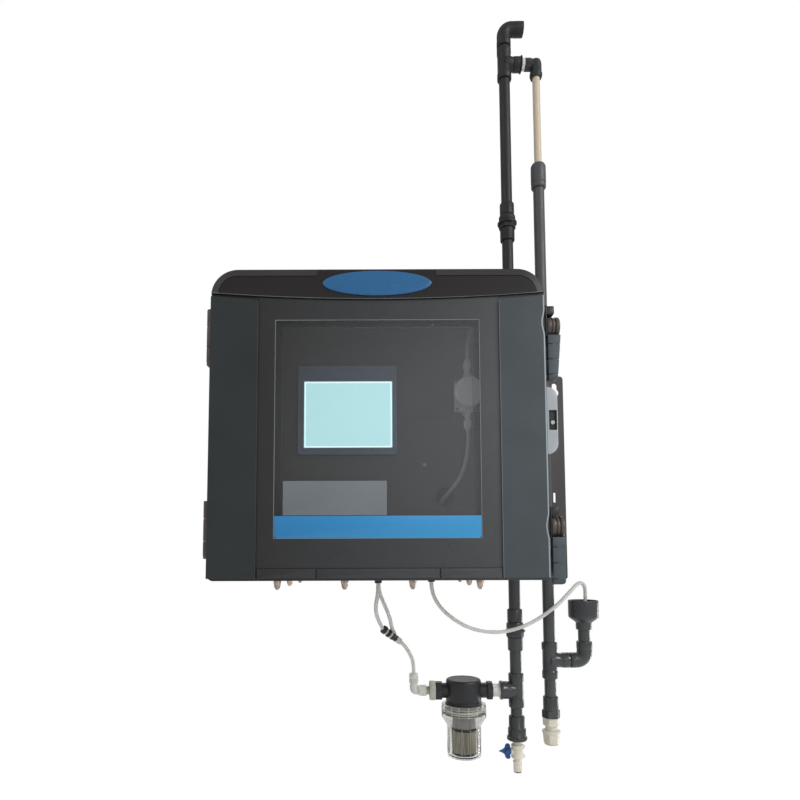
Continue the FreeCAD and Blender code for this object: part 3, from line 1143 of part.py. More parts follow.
def elbow_fitting():
    """White tube elbow on the strainer's left side, with a collet on top."""
    corner = V(ELBOW_X, PIPE_Y, SAMPLE_Z)
    nut = hex_bar(ELBOW_NUT_R, corner + RIGHT * ELBOW_NUT_START, elbow_nut_face())
    leg = rod(ELBOW_LEG_R - 0.5, corner, corner + RIGHT * (ELBOW_NUT_START + 1))
    top = V(ELBOW_X, PIPE_Y, ELBOW_TOP)
    collet = rod(ELBOW_R, top, top + DOWN * 10)
    knuckle = Part.makeSphere(ELBOW_LEG_R + 0.6, corner)
    body = join(nut, leg, rod(ELBOW_LEG_R, corner, top + DOWN * 10), collet, knuckle)
    turn = TUBE_BORE_R * 0.8
    return body.cut([rod(turn, corner, elbow_nut_face() + RIGHT), rod(TUBE_BORE_R, corner + DOWN, top + UP)])


def pipe_clamps():
    """Blocks on the wall plate that the two pipes run through."""
    front = PIPE_Y - PIPE_R - CLAMP_OVER
    clamps = []
    for level, z in enumerate(CLAMP_Z):
        high = DRAIN_CLAMP_HALF_H if level == 0 else LOW_CLAMP_HALF_H
        for x, half_w, half_h in ((RISER_X, RISER_CLAMP_HALF_W, RISER_CLAMP_HALF_H),
                                  (DRAIN_X, DRAIN_CLAMP_HALF_W, high)):
            corner = min(half_w, half_h) * 0.9
            block = slab(x - half_w, x + half_w, z - half_h, z + half_h, corner, corner, front, -PLATE_THICK)
            cuts = [rod(PIPE_R + GLUED, V(x, PIPE_Y, z - half_h - 1), V(x, PIPE_Y, z + half_h + 1))]
            if half_h > CLAMP_POCKET_HIGH:
                screw_x = x + half_w - CLAMP_POCKET_WIDE
                cuts.append(box(screw_x - 2, x + half_w - 2, front - 1, front + CLAMP_POCKET_DEEP,
                                z - CLAMP_POCKET_HIGH / 2, z + CLAMP_POCKET_HIGH / 2))
                screw = V(screw_x + 5, front + CLAMP_POCKET_DEEP, z - 4)
                clamps.append(rod(3.5, screw, screw + FRONT * 3))
            clamps.append(block.cut(cuts))
    return group(clamps)


def y_connector():
    """Barrel with a nut at each end, and a side branch near its lower end."""
    middle = Y_START + (Y_END - Y_START) * 0.7
    way = (Y_END - Y_START).normalize()
    body = join(rod(Y_BODY_R, Y_START, Y_END), rod(Y_NUT_R, Y_START, Y_START + way * Y_NUT),
                rod(Y_NUT_R, Y_START + way * Y_NUT * 2, Y_START + way * Y_NUT * 3),
                rod(Y_BRANCH_R, Y_BRANCH_FROM, middle))
    return body.cut([rod(TUBE_BORE_R, Y_START - way, Y_END + way), rod(TUBE_BORE_R, Y_BRANCH_FROM, middle)])


# Routes of the free tubes, chosen along the ones that the object has
BULKHEAD_END = -BODY_HALF_H - GLAND_THICK - BULKHEAD_DOWN
LEFT_PORT = V(SAMPLE_PORT_X, SAMPLE_PORT_Y[0], BULKHEAD_END)
RIGHT_PORT = V(SAMPLE_PORT_X, SAMPLE_PORT_Y[1], BULKHEAD_END)
DRAIN_PORT = V(DRAIN_PORT_X, DRAIN_PORT_Y, BULKHEAD_END)
ELBOW_MOUTH = V(ELBOW_X, PIPE_Y, ELBOW_TOP)
FUNNEL_MOUTH = V(FUNNEL_X, PIPE_Y, FUNNEL_TOP)
LEFT_TUBE_ROUTE = [
    LEFT_PORT, LEFT_PORT + V(0, 0, -16), LEFT_PORT + V(-5, 21, -39), Y_START + V(-9, -28, 20), Y_START]
RIGHT_TUBE_ROUTE = [
    RIGHT_PORT, RIGHT_PORT + V(0, 0, -12), RIGHT_PORT + V(6, 9, -30),
    Y_BRANCH_FROM + V(-7, -24, 31.5), Y_BRANCH_FROM + V(-2.5, -11, 14.5), Y_BRANCH_FROM]
LOWER_TUBE_ROUTE = [
    Y_END, Y_END + V(7.5, 4, -7), Y_END + V(15.5, 10, -20),
    ELBOW_MOUTH + V(-2, -7, 24), ELBOW_MOUTH + V(0, 0, 9.5), ELBOW_MOUTH]
DRAIN_HOSE_ROUTE = [
    DRAIN_PORT, DRAIN_PORT + V(0, 0, -17), DRAIN_PORT + V(15, 16, -43), DRAIN_PORT + V(37, 26, -62.5),
    DRAIN_PORT + V(63, 34, -78), DRAIN_PORT + V(93, 42, -86.5),
    FUNNEL_MOUTH + V(-145.5, -32, -51), FUNNEL_MOUTH + V(-111.5, -30, -42), FUNNEL_MOUTH + V(-80.5, -27, -26.5),
    FUNNEL_MOUTH + V(-50.5, -23, -5.5), FUNNEL_MOUTH + V(-26.5, -15, 16.5), FUNNEL_MOUTH + V(-14.5, -9, 27.5),
    FUNNEL_MOUTH + V(-4.5, -4, 31.5), FUNNEL_MOUTH + V(3, -1, 26), FUNNEL_MOUTH + V(4.5, 0, 13.5),
    FUNNEL_MOUTH + V(4, 0, 0.5), FUNNEL_MOUTH + V(3.5, 0, -11.5)]


def small_tube(points, label):
    return tube_path(points, TUBE_R, TUBE_BORE_R, label)


def build():
    hinge_body_leaves, hinge_door_leaves, hinge_pins = hinge_pieces()
    display_module, display_screen = display()
    sensor_body, sensor_cap = sensor()
    sample_tee_middle = at_riser(SAMPLE_Z)
    corner, side_long = branch_elbow_place()
    upper, lower = UNION_Z
    return {
        "wall_plate": wall_plate(),
        "cabinet_body": cabinet_body(),
        "gland_plate": gland_plate(),
        "gland_nuts": gland_nuts(),
        "wall_spacers": wall_spacers(),
        "door_seal": door_seal(),
        "door_frame": door_frame(),
        "door_hood": door_hood(),
        "door_trim": door_trim(),
        "window_pane": window_pane(),
        "badge": badge(),
        "hinge_body_leaves": hinge_body_leaves,
        "hinge_door_leaves": hinge_door_leaves,
        "hinge_pins": hinge_pins,
        "latch_bases": group([latch_base(z) for z in LATCH_Z]),
        "latch_lever_upper": latch_lever(LATCH_Z[0]),
        "latch_lever_lower": latch_lever(LATCH_Z[1]),
        "inner_panel": inner_panel(),
        "panel_posts": panel_posts(),
        "display_module": display_module,
        "display_screen": display_screen,
        "control_board": control_board(),
        "power_supply": power_supply(),
        "sensor_body": sensor_body,
        "sensor_cap": sensor_cap,
        "sensor_fittings": sensor_fittings(),
        "sensor_tubes": group([small_tube(sensor_upper_route(), "sensor tube, upper"),
                               small_tube(sensor_lower_route(), "sensor tube, lower")]),
        "bulkheads": bulkheads(),
        "pipe_clamps": pipe_clamps(),
        "vent_elbow": elbow(at_riser(VENT_Z), RIGHT, VENT_LEG, DOWN, VENT_LEG),
        "overflow_tee": tee(at_riser(TOP_BRANCH_Z), TOP_TEE_HALF, RIGHT,
                            TOP_BRANCH_LONG, SOCKET_R, WEIR_THREAD_R + GLUED),
        "weir_fitting": weir_fitting(),
        "overflow_tube": overflow_tube(),
        "drain_reducer": drain_reducer(),
        "riser_pipes": riser_pipes(),
        "union_ends": group(union_ends(upper) + union_ends(lower)),
        "union_nut_upper": union_nut(upper),
        "union_nut_lower": union_nut(lower),
        "sample_tee": tee(sample_tee_middle, SAMPLE_TEE_HALF, LEFT, SAMPLE_BRANCH_LONG,
                          SAMPLE_BRANCH_R, NIPPLE_R + GLUED),
        "inlet_adapter": inlet_adapter(),
        "valve_body": valve_body(),
        "valve_lever": valve_lever(),
        "drain_pipes": drain_pipes(),
        "drain_tee": tee(at_drain(DRAIN_TEE_Z), DRAIN_TEE_HALF, RIGHT, DRAIN_BRANCH_LONG,
                         SOCKET_R, PIPE_R + GLUED),
        "branch_elbow": elbow(corner, LEFT, side_long, UP, FUNNEL_ELBOW_TOP - DRAIN_TEE_Z),
        "funnel": funnel(),
        "drain_adapter": drain_adapter(),
        "drain_tail": drain_tail(),
        "drain_nut": drain_nut(),
        "filter_head": filter_head(),
        "filter_bowl": filter_bowl(),
        "filter_mesh": filter_mesh(),
        "filter_nipple": filter_nipple(),
        "filter_adapter": filter_adapter(),
        "elbow_fitting": elbow_fitting(),
        "y_connector": y_connector(),
        "sample_tube_left": small_tube(LEFT_TUBE_ROUTE, "sample_tube_left"),
        "sample_tube_right": small_tube(RIGHT_TUBE_ROUTE, "sample_tube_right"),
        "sample_tube_lower": small_tube(LOWER_TUBE_ROUTE, "sample_tube_lower"),
        "drain_hose": small_tube(DRAIN_HOSE_ROUTE, "drain_hose"),
    }


os.makedirs("parts", exist_ok=True)
for name, shape in build().items():
    shape.exportStep("parts/" + name + ".step")
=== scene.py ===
import math

import bmesh
import bpy
from mathutils import Matrix, Vector


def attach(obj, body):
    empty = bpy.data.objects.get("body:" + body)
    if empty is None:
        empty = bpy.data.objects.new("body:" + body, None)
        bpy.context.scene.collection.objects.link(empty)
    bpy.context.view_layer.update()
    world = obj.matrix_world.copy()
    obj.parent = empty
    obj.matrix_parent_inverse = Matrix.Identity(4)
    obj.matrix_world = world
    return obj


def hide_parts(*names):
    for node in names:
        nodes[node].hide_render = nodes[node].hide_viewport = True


# Looks of the wall-mounted particle counter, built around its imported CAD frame.
# Metres, with X to the right, Y into the wall and Z up. The door faces -Y.

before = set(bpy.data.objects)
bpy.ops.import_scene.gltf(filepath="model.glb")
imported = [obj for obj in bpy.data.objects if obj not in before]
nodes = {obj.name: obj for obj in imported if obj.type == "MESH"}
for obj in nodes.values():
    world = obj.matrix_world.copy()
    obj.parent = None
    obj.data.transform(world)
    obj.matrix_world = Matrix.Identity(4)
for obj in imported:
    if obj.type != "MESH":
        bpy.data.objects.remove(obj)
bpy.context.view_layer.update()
for plain in list(bpy.data.materials):  # the CAD's own, so that these names are free
    bpy.data.materials.remove(plain)


# Colours, from 0 to 255 as a picture shows them, and the stretches over which colours turn as painted light
# and shade

PIPE_GREY = (64, 66, 67)
BLACK = (28, 29, 32)
# Across the door, colours turn lighter towards the right: painted light from the lamps on the right
PAINTED_LIGHT_ACROSS_DOOR = ("X", -0.15, 0.16)
# Up the pipes, colours turn towards another tone at the top: painted light and shade
PAINTED_LIGHT_UP_PIPES = ("Z", -0.35, 0.35)
BUMP_DEPTH = 0.0004


def srgb(colour):
    """The linear colour, with alpha, of one written from 0 to 255."""
    parts = [part / 255 for part in colour]
    return tuple(part / 12.92 if part < 0.04 else ((part + 0.055) / 1.055) ** 2.4 for part in parts) + (1,)


def shade(colour, factor):
    """A colour made darker or lighter."""
    return tuple(min(255, part * factor) for part in colour)


class Graph:
    """A material's node tree, with short ways to add to it."""

    def __init__(self, name):
        self.material = bpy.data.materials.new(name)
        self.material.use_nodes = True
        self.tree = self.material.node_tree
        self.shader = self.tree.nodes["Principled BSDF"]
        self.place = self.add("ShaderNodeTexCoord").outputs["Object"]

    def add(self, kind, **settings):
        node = self.tree.nodes.new(kind)
        for key, value in settings.items():
            setattr(node, key, value)
        return node

    def link(self, source, target):
        self.tree.links.new(source, target)

    def noise(self, scale, detail, stretch):
        mapping = self.add("ShaderNodeMapping")
        mapping.inputs["Scale"].default_value = stretch
        node = self.add("ShaderNodeTexNoise")
        node.inputs["Scale"].default_value = scale
        node.inputs["Detail"].default_value = detail
        self.link(self.place, mapping.inputs["Vector"])
        self.link(mapping.outputs["Vector"], node.inputs["Vector"])
        return node.outputs["Fac"]

    def ranged(self, source, low, high, start=0.3, end=0.7):
        """The source's values from start to end, spread from low to high."""
        node = self.add("ShaderNodeMapRange")
        for key, value in (("From Min", start), ("From Max", end), ("To Min", low), ("To Max", high)):
            node.inputs[key].default_value = value
        self.link(source, node.inputs["Value"])
        return node.outputs["Result"]

    def mixed(self, factor, first, second):
        """A colour between two, each a colour or a socket."""
        node = self.add("ShaderNodeMix", data_type="RGBA")
        self.link(factor, node.inputs["Factor"])
        for key, value in (("A", first), ("B", second)):
            socket = [s for s in node.inputs if s.name == key and s.type == "RGBA"][0]
            if isinstance(value, tuple):
                socket.default_value = value
            else:
                self.link(value, socket)
        return [s for s in node.outputs if s.type == "RGBA"][0]

    def bump(self, height, strength):
        node = self.add("ShaderNodeBump")
        node.inputs["Strength"].default_value = strength
        node.inputs["Distance"].default_value = BUMP_DEPTH
        self.link(height, node.inputs["Height"])
        self.link(node.outputs["Normal"], self.shader.inputs["Normal"])


def finish(name, colour, rough, grain=900, bump=0.15, vary=0.08, patch=9, stretch=(1, 1, 1), edge_highlight=0.0,
        painted_light_turn=None, **sockets):
    """A moulded, painted or metal surface: patches of colour, a fine grain and lighter edges, the last a
    painted highlight.

    The turn is an axis, where on it the colour starts and ends turning into another, and that one: light and
    shade painted along the surface. A roughness may follow, which the surface turns to as well.
    """
    g = Graph(name)
    patches = g.ranged(g.noise(patch, 4, stretch), 0, 1)
    tone = g.mixed(patches, srgb(shade(colour, 1 - vary)), srgb(shade(colour, 1 + vary)))
    fine = g.noise(grain, 2, stretch)
    roughness = g.ranged(fine, rough * 0.85, rough * 1.15)
    if painted_light_turn:
        axis, start, end, other, *far_rough = painted_light_turn
        split = g.add("ShaderNodeSeparateXYZ")
        g.link(g.place, split.inputs["Vector"])
        tone = g.mixed(g.ranged(split.outputs[axis], 0, 1, start, end), tone, srgb(other))
        if far_rough:
            scaled = g.add("ShaderNodeMath", operation="MULTIPLY")
            g.link(roughness, scaled.inputs[0])
            g.link(g.ranged(split.outputs[axis], 1, far_rough[0] / rough, start, end), scaled.inputs[1])
            roughness = scaled.outputs[0]
    # Convex edges turn lighter: a painted highlight
    if edge_highlight:
        highlit_edges = g.ranged(g.add("ShaderNodeNewGeometry").outputs["Pointiness"], 0, edge_highlight, 0.51, 0.6)
        tone = g.mixed(highlit_edges, tone, srgb(shade(colour, 1.9)))
    g.link(tone, g.shader.inputs["Base Color"])
    g.link(roughness, g.shader.inputs["Roughness"])
    g.bump(fine, bump)
    for key, value in sockets.items():
        g.shader.inputs[key.replace("_", " ")].default_value = value
    return g.material


# Materials

# Where a material below lightens its convex edges, that is a painted highlight
plate_paint = finish("plate_paint", (49, 47, 46), 0.55, bump=0.25, edge_highlight=0.4)
cabinet_plastic = finish("cabinet_plastic", (33, 40, 43), 0.5, grain=1400, bump=0.3, edge_highlight=0.3)
# The fascia turns lighter towards the right: painted reflection of the lamps on the right
fascia_gloss = finish("fascia_gloss", (42, 42, 43), 0.3, grain=50, bump=0.002, vary=0.03,
    painted_light_turn=(*PAINTED_LIGHT_ACROSS_DOOR, (68, 71, 73)), Specular_IOR_Level=0.4)
# Two copies of one slate: the right pillar's is lighter, painted light from the lamps on the right
trim_slate = finish("trim_slate", (38, 43, 45), 0.5, grain=1400, bump=0.25, Specular_IOR_Level=0.35)
trim_slate_lit = finish("trim_slate_lit", (66, 73, 77), 0.5, grain=1400, bump=0.25,
    Specular_IOR_Level=0.35)
hood_black = finish("hood_black", (30, 27, 27), 0.4, grain=1200, bump=0.1, edge_highlight=0.2, Specular_IOR_Level=0.3)
hood_band = finish("hood_band", (52, 49, 49), 0.4, grain=1200, bump=0.1, Specular_IOR_Level=0.3)
pale_edge = finish("pale_edge", (120, 124, 126), 0.4, bump=0.05)
pillar_highlight = finish("pillar_highlight", (150, 160, 168), 0.4, bump=0.05)
seam_grey = finish("seam_grey", (84, 85, 86), 0.5, bump=0.05)
notice_grey = finish("notice_grey", (106, 113, 118), 0.45, bump=0.05, vary=0.03)
# The blue stripe turns lighter towards the right: painted light
stripe_blue = finish("stripe_blue", (38, 124, 182), 0.35, grain=600, bump=0.03, vary=0.05, patch=4,
    painted_light_turn=(*PAINTED_LIGHT_ACROSS_DOOR, (50, 148, 204)))
badge_blue = finish("badge_blue", (32, 94, 142), 0.3, grain=400, bump=0.04, vary=0.05)
fitting_black = finish("fitting_black", BLACK, 0.45, grain=1200, bump=0.2, edge_highlight=0.3)
latch_brown = finish("latch_brown", (64, 56, 52), 0.4, grain=700, bump=0.3, vary=0.2, patch=60, edge_highlight=0.3)
lever_slate = finish("lever_slate", (50, 59, 64), 0.5, grain=1400, bump=0.3, edge_highlight=0.4)
steel = finish("steel", (176, 174, 170), 0.3, grain=1500, bump=0.1, vary=0.12, patch=60, Metallic=1.0)
warm_steel = finish("warm_steel", (172, 158, 146), 0.28, grain=1500, bump=0.1, vary=0.2, patch=90,
    Metallic=1.0)
seal_rubber = finish("seal_rubber", BLACK, 0.75, bump=0.3)
panel_paint = finish("panel_paint", (88, 88, 88), 0.5, grain=1100, bump=0.015, vary=0.03)
bezel_plastic = finish("bezel_plastic", (122, 140, 164), 0.45, grain=1200)
board_green = finish("board_green", (36, 84, 60), 0.4, grain=300, bump=0.3, vary=0.3, patch=140)
supply_case = finish("supply_case", (150, 152, 150), 0.4, grain=600, bump=0.2)
sensor_metal = finish("sensor_metal", (255, 255, 255), 0.4, grain=1600, bump=0.1)
clamp_grey = finish("clamp_grey", (158, 165, 171), 0.45, edge_highlight=0.3)
# The pipe turns darker and rougher towards the top: painted shade
pipe_grey = finish("pipe_grey", PIPE_GREY, 0.16, grain=420, bump=0.03, vary=0.1, stretch=(1, 1, 0.06),
    painted_light_turn=(*PAINTED_LIGHT_UP_PIPES, (29, 30, 31), 0.5), Specular_IOR_Level=0.38)
# The same pipe plastic, turning a little lighter towards the top: painted light
pipe_lit_top = finish("pipe_lit_top", PIPE_GREY, 0.16, grain=420, bump=0.03, vary=0.1, stretch=(1, 1, 0.06),
    painted_light_turn=(*PAINTED_LIGHT_UP_PIPES, (70, 71, 72), 0.5))
beige_tube = finish("beige_tube", (194, 180, 158), 0.4, grain=420, bump=0.12, stretch=(1, 1, 0.06))
white_plastic = finish("white_plastic", (218, 211, 196), 0.4, bump=0.12, vary=0.04, patch=40)
tan_plastic = finish("tan_plastic", (178, 177, 164), 0.45, bump=0.12, vary=0.05, patch=40)
lever_blue = finish("lever_blue", (22, 76, 136), 0.4, bump=0.12)
mesh_steel = finish("mesh_steel", (136, 133, 119), 0.5, bump=0.5, vary=0.25, patch=400, stretch=(1, 1, 0.05),
    Metallic=0.5)
tape_white = finish("tape_white", (222, 222, 218), 0.6, grain=700, bump=0.5, vary=0.1, patch=200)
pocket_shade = finish("pocket_shade", (40, 44, 48), 0.6, bump=0.2)
ring_dark = finish("ring_dark", (38, 37, 35), 0.5, bump=0.2)
# The pane turns lighter towards the right: painted reflection
tinted_window = finish("tinted_window", (70, 70, 70), 0.3, grain=50, bump=0.001, vary=0.02,
    painted_light_turn=(*PAINTED_LIGHT_ACROSS_DOOR, (108, 110, 113)), IOR=1.45, Alpha=0.36)
clear_bowl = finish("clear_bowl", (240, 240, 238), 0.04, grain=60, bump=0.02, vary=0.02,
    Transmission_Weight=1.0, IOR=1.18)
thread_grey = finish("thread_grey", (150, 148, 143), 0.3, bump=0.1)
milky = finish("milky", (228, 226, 219), 0.3, grain=300, bump=0.05, vary=0.05, Transmission_Weight=0.3,
    IOR=1.3)
clear_tube = finish("clear_tube", (224, 224, 220), 0.18, grain=40, bump=0.003, vary=0.03,
    Transmission_Weight=0.35, IOR=1.25)


def glowing(name, colour, strength):
    material = finish(name, colour, 0.3, grain=300, bump=0.02, vary=0.02)
    shader = material.node_tree.nodes["Principled BSDF"]
    shader.inputs["Emission Color"].default_value = srgb(colour)
    shader.inputs["Emission Strength"].default_value = strength
    return material


screen_light = glowing("screen_light", (178, 226, 230), 1.9)
screen_white = glowing("screen_white", (240, 250, 250), 2.2)

DRESSED = {"wall_plate": plate_paint, "cabinet_body": cabinet_plastic, "door_frame": fascia_gloss,
    "window_pane": tinted_window, "door_seal": seal_rubber, "inner_panel": panel_paint,
    "display_module": bezel_plastic, "display_screen": screen_light, "control_board": board_green,
    "power_supply": supply_case, "sensor_body": sensor_metal, "sensor_tubes": milky, "riser_pipes": pipe_grey,
    "drain_pipes": pipe_lit_top, "overflow_tube": beige_tube}
DRESSED.update(dict.fromkeys(("hinge_pins", "wall_spacers", "panel_posts", "gland_plate"), steel))
for name, material in DRESSED.items():
    nodes[name].data.materials.clear()
    nodes[name].data.materials.append(material)


# Shapes

def shell(loops, around=False):
    """Corners and faces of a skin through loops of as many points each: capped, or joined end to end."""
    count = len(loops[0])
    corners = [tuple(point) for loop in loops for point in loop]
    faces = []
    for row in range(len(loops) - 1):
        here, there = row * count, (row + 1) * count
        for i in range(count):
            j = (i + 1) % count
            faces.append((here + i, here + j, there + j, there + i))
    last = (len(loops) - 1) * count
    if around:
        joined = [(last + i, last + (i + 1) % count, (i + 1) % count, i) for i in range(count)]
        return corners, faces + joined
    faces.append(tuple(reversed(range(count))))
    faces.append(tuple(range(last, last + count)))
    return corners, faces


def merge(*solids):
    corners, faces = [], []
    for solid_corners, solid_faces in solids:
        first = len(corners)
        corners += solid_corners
        faces += [tuple(first + i for i in face) for face in solid_faces]
    return corners, faces


def eased(rows, ease):
    """The rows with each inner corner cut a little, so that it catches the light."""
    out = [rows[0]]
    for before, row, after in zip(rows, rows[1:], rows[2:]):
        for other in (before, after):
            gap = math.dist(row[:2], other[:2])
            step = min(ease, 0.4 * gap) / gap
            out.append((row[0] + (other[0] - row[0]) * step, row[1] + (other[1] - row[1]) * step, *row[2:]))
    return out + [rows[-1]]


def lathe(rows, start, way, ease=0.0005, turns=48, around=False):
    """A solid turned about a line. A row is the distance along it and a radius.

    A third value in a row makes it six-sided with that corner radius. A third and a fourth make that
    many ribs of that depth.
    """
    spin = Vector(way).to_track_quat("Z", "Y").to_matrix()
    loops = []
    for distance, radius, *form in eased(rows, ease):
        loop = []
        for i in range(turns):
            turn = math.tau * i / turns
            r = radius
            if len(form) == 1:
                r = min(r, form[0] * math.cos(math.pi / 6) / math.cos(turn % (math.pi / 3) - math.pi / 6))
            elif form:
                r -= form[1] * (0.5 + 0.5 * math.cos(form[0] * turn))
            loop.append(Vector(start) + spin @ Vector((r * math.cos(turn), r * math.sin(turn), distance)))
        loops.append(loop)
    return shell(loops, around)


def sweep(path, radius, turns=32):
    """A round bar along a path in a plane of constant Y."""
    loops = []
    across = Vector((0, 1, 0))
    for i, place in enumerate(path):
        along = Vector(path[min(i + 1, len(path) - 1)]) - Vector(path[max(i - 1, 0)])
        side = along.normalized().cross(across)
        loops.append([Vector(place) + radius * (
            side * math.cos(math.tau * k / turns) + across * math.sin(math.tau * k / turns))
            for k in range(turns)])
    return shell(loops)


def rounded(left, right, bottom, top, corners, steps=6):
    """A rounded rectangle's points in X and Z. Its corner radii run from low right, anticlockwise."""
    low_right, high_right, high_left, low_left = corners
    points = []
    for x, z, radius, turn in ((right - low_right, bottom + low_right, low_right, -90),
            (right - high_right, top - high_right, high_right, 0),
            (left + high_left, top - high_left, high_left, 90),
            (left + low_left, bottom + low_left, low_left, 180)):
        for step in range(steps + 1):
            angle = math.radians(turn + 90 * step / steps)
            points.append((x + radius * math.cos(angle), z + radius * math.sin(angle)))
    return points


def pad(left, right, bottom, top, corners, back, front, edge=0.0008):
    """A flat plate facing -Y with rounded corners and an eased front edge."""
    def loop(inset, y):
        radii = [max(radius - inset, 0.0001) for radius in corners]
        return [(x, y, z) for x,
            z in rounded(left + inset, right - inset, bottom + inset, top - inset, radii)]
    return shell([loop(0, back), loop(0, front + edge), loop(edge * 0.3, front + edge * 0.3),
            loop(edge, front)])


def placed(name, data):
    """An object of this data, in the scene."""
    piece = bpy.data.objects.new(name, data)
    bpy.context.scene.collection.objects.link(piece)
    return piece


def aimed(piece, place, target):
    """Put a lamp at a place, turned to shine on its target."""
    away = Vector(place) - Vector(target)
    piece.matrix_world = Matrix.Translation(place) @ away.to_track_quat("Z", "Y").to_matrix().to_4x4()


def make(name, solid, material, stands_for=(), body="cabinet", sharp=40):
    """A piece of the object from corners and faces, riding on a body, in place of the nodes it stands for."""
    mesh = bpy.data.meshes.new(name)
    corners, faces = solid
    mesh.from_pydata(corners, [], faces)
    tidy = bmesh.new()
    tidy.from_mesh(mesh)
    bmesh.ops.recalc_face_normals(tidy, faces=tidy.faces)
    tidy.to_mesh(mesh)
    tidy.free()
    mesh.shade_smooth()
    mesh.set_sharp_from_angle(angle=math.radians(sharp))
    mesh.materials.append(material)
    piece = placed(name, mesh)
    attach(piece, body)
    if stands_for:
        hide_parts(*stands_for)
    return piece


# Door: hood, pillars, fascia, window, badge and foot bar

DOOR_W, DOOR_H = 0.225, 0.21
DOOR_Y = -0.315
FASCIA_Y = -0.312
DOOR_TOP_R = 0.036
HOOD_SIDE, HOOD_MID = 0.177, 0.168
DOOR_BACK = -0.311
DOOR_LOW = -0.207
BAND = 0.011
SPLITS = (0.0817, 0.079)


def hood_edge(x):
    """Height of the hood's lower edge."""
    return HOOD_MID + (HOOD_SIDE - HOOD_MID) * (x / DOOR_W) ** 2


def hood_outline(inset):
    """The hood's outline, with its sides and top moved inwards."""
    radius = DOOR_TOP_R - inset
    side, top = DOOR_W - inset, DOOR_H - inset
    centre_x, centre_z = side - radius, top - radius
    start = math.asin(min(1, max(0, (HOOD_SIDE - centre_z) / radius)))
    arc = []
    for step in range(13):
        turn = start + (math.pi / 2 - start) * step / 12
        arc.append((centre_x + radius * math.cos(turn), centre_z + radius * math.sin(turn)))
    right_x = arc[0][0]
    lower = [(right_x * (step / 12 - 1), hood_edge(right_x * (step / 12 - 1))) for step in range(24)]
    return lower + arc + [(-x, z) for x, z in reversed(arc)]


def at(points, y):
    return [(x, y, z) for x, z in points]


make("hood", shell([at(hood_outline(0), DOOR_BACK), at(hood_outline(0), DOOR_BACK - 0.0014),
            at(hood_outline(0.0008), DOOR_BACK - 0.002), at(hood_outline(BAND - 0.0008), DOOR_Y + 0.0004),
            at(hood_outline(BAND), DOOR_Y)]), hood_black, ["door_hood"], body="door", sharp=12)


def band_piece(name, end, mirror):
    """The paler bevel along the hood's side and top, from its low end to a split beside the badge."""
    outer, inner = hood_outline(0.0012), hood_outline(BAND - 0.001)
    path = list(zip(outer[24:37], inner[24:37]))
    path.append(((end, DOOR_H - 0.0012), (end, DOOR_H - BAND + 0.001)))
    solid_loops = []
    for (x0, z0), (x1, z1) in path:
        side = -1 if mirror else 1
        lift = 0.0004
        y_out, y_in = DOOR_BACK - 0.0021 - lift, DOOR_Y + 0.0002 - lift
        solid_loops.append([(side * x0, y_out, z0), (side * x1, y_in, z1), (side * x1, y_in + 0.0012, z1),
            (side * x0, y_out + 0.0012, z0)])
    make(name, shell(solid_loops), hood_band, body="door")


band_piece("hood_band_left", SPLITS[0], True)
band_piece("hood_band_right", SPLITS[1], False)

# A thin pale line along the hood's lower edge: a painted highlight where the edge catches the light
LINE = 0.0007
lip_points = [(0.2235 * (step / 20 - 1)) for step in range(41)]
make("hood_lip_highlight", shell([[(x, DOOR_Y + 0.0006, hood_edge(x) - 0.0002),
            (x, DOOR_Y - 0.0001, hood_edge(x) + 0.0001), (x, DOOR_Y + 0.0001, hood_edge(x) + LINE),
            (x, DOOR_Y + 0.001, hood_edge(x) + LINE)] for x in lip_points]), pale_edge,
    body="door")


LATCH_Z = (0.134, -0.14)
SCALLOP_HALF, SCALLOP_DEEP = 0.018, 0.0026


def door_side(z):
    """How far the door's right side is out at this height, with a scallop beside each latch."""
    out = DOOR_W
    for middle in LATCH_Z:
        reach = (z - middle) / SCALLOP_HALF
        if abs(reach) < 1:
            out -= SCALLOP_DEEP * (1 - reach * reach) ** 2
    return out


def pillar_outline(side, inset):
    """A pillar between its step line and the door's side, under the hood's edge."""
    inner = 0.163 if side > 0 else 0.16
    top_gap = 0.0045
    low = DOOR_LOW + inset
    points = [(inner + inset, low)]
    high = hood_edge(DOOR_W) - top_gap - inset
    for step in range(121):
        z = low + (high - low) * step / 120
        points.append(((door_side(z) if side > 0 else DOOR_W) - inset, z))
    radius = 0.006
    corner_x, corner_z = inner + inset + radius, hood_edge(inner) - top_gap - inset - radius
    for step in range(7):
        turn = math.pi / 2 + math.pi / 2 * step / 6
        points.append((corner_x + radius * math.cos(turn), corner_z + radius * math.sin(turn)))
    return [(side * x, z) for x, z in points]


def pillar(side):
    return shell([at(pillar_outline(side, 0), DOOR_BACK), at(pillar_outline(side, 0), DOOR_Y + 0.0011),
            at(pillar_outline(side, 0.0004), DOOR_Y + 0.0003), at(pillar_outline(side, 0.0012), DOOR_Y)])


def foot(left, right):
    return pad(left, right, DOOR_LOW, -0.1941, (0.0006,) * 4, DOOR_BACK, DOOR_Y + 0.001)


# A bright strip along the right pillar's outer side: a painted highlight
EDGE_WIDE = 0.0024
EDGE_LOW, EDGE_HIGH = -0.2062, hood_edge(DOOR_W) - 0.0052
edge_heights = [EDGE_LOW + (EDGE_HIGH - EDGE_LOW) * step / 120 for step in range(121)]
make("pillar_edge", shell([[(door_side(z) - 0.001, DOOR_Y + 0.0012, z),
            (door_side(z) - 0.0009, DOOR_Y - 0.0001, z), (door_side(z) - EDGE_WIDE, DOOR_Y - 0.0003, z),
            (door_side(z) - EDGE_WIDE - 0.0008, DOOR_Y + 0.0006, z)] for z in edge_heights]), pillar_highlight,
    body="door")
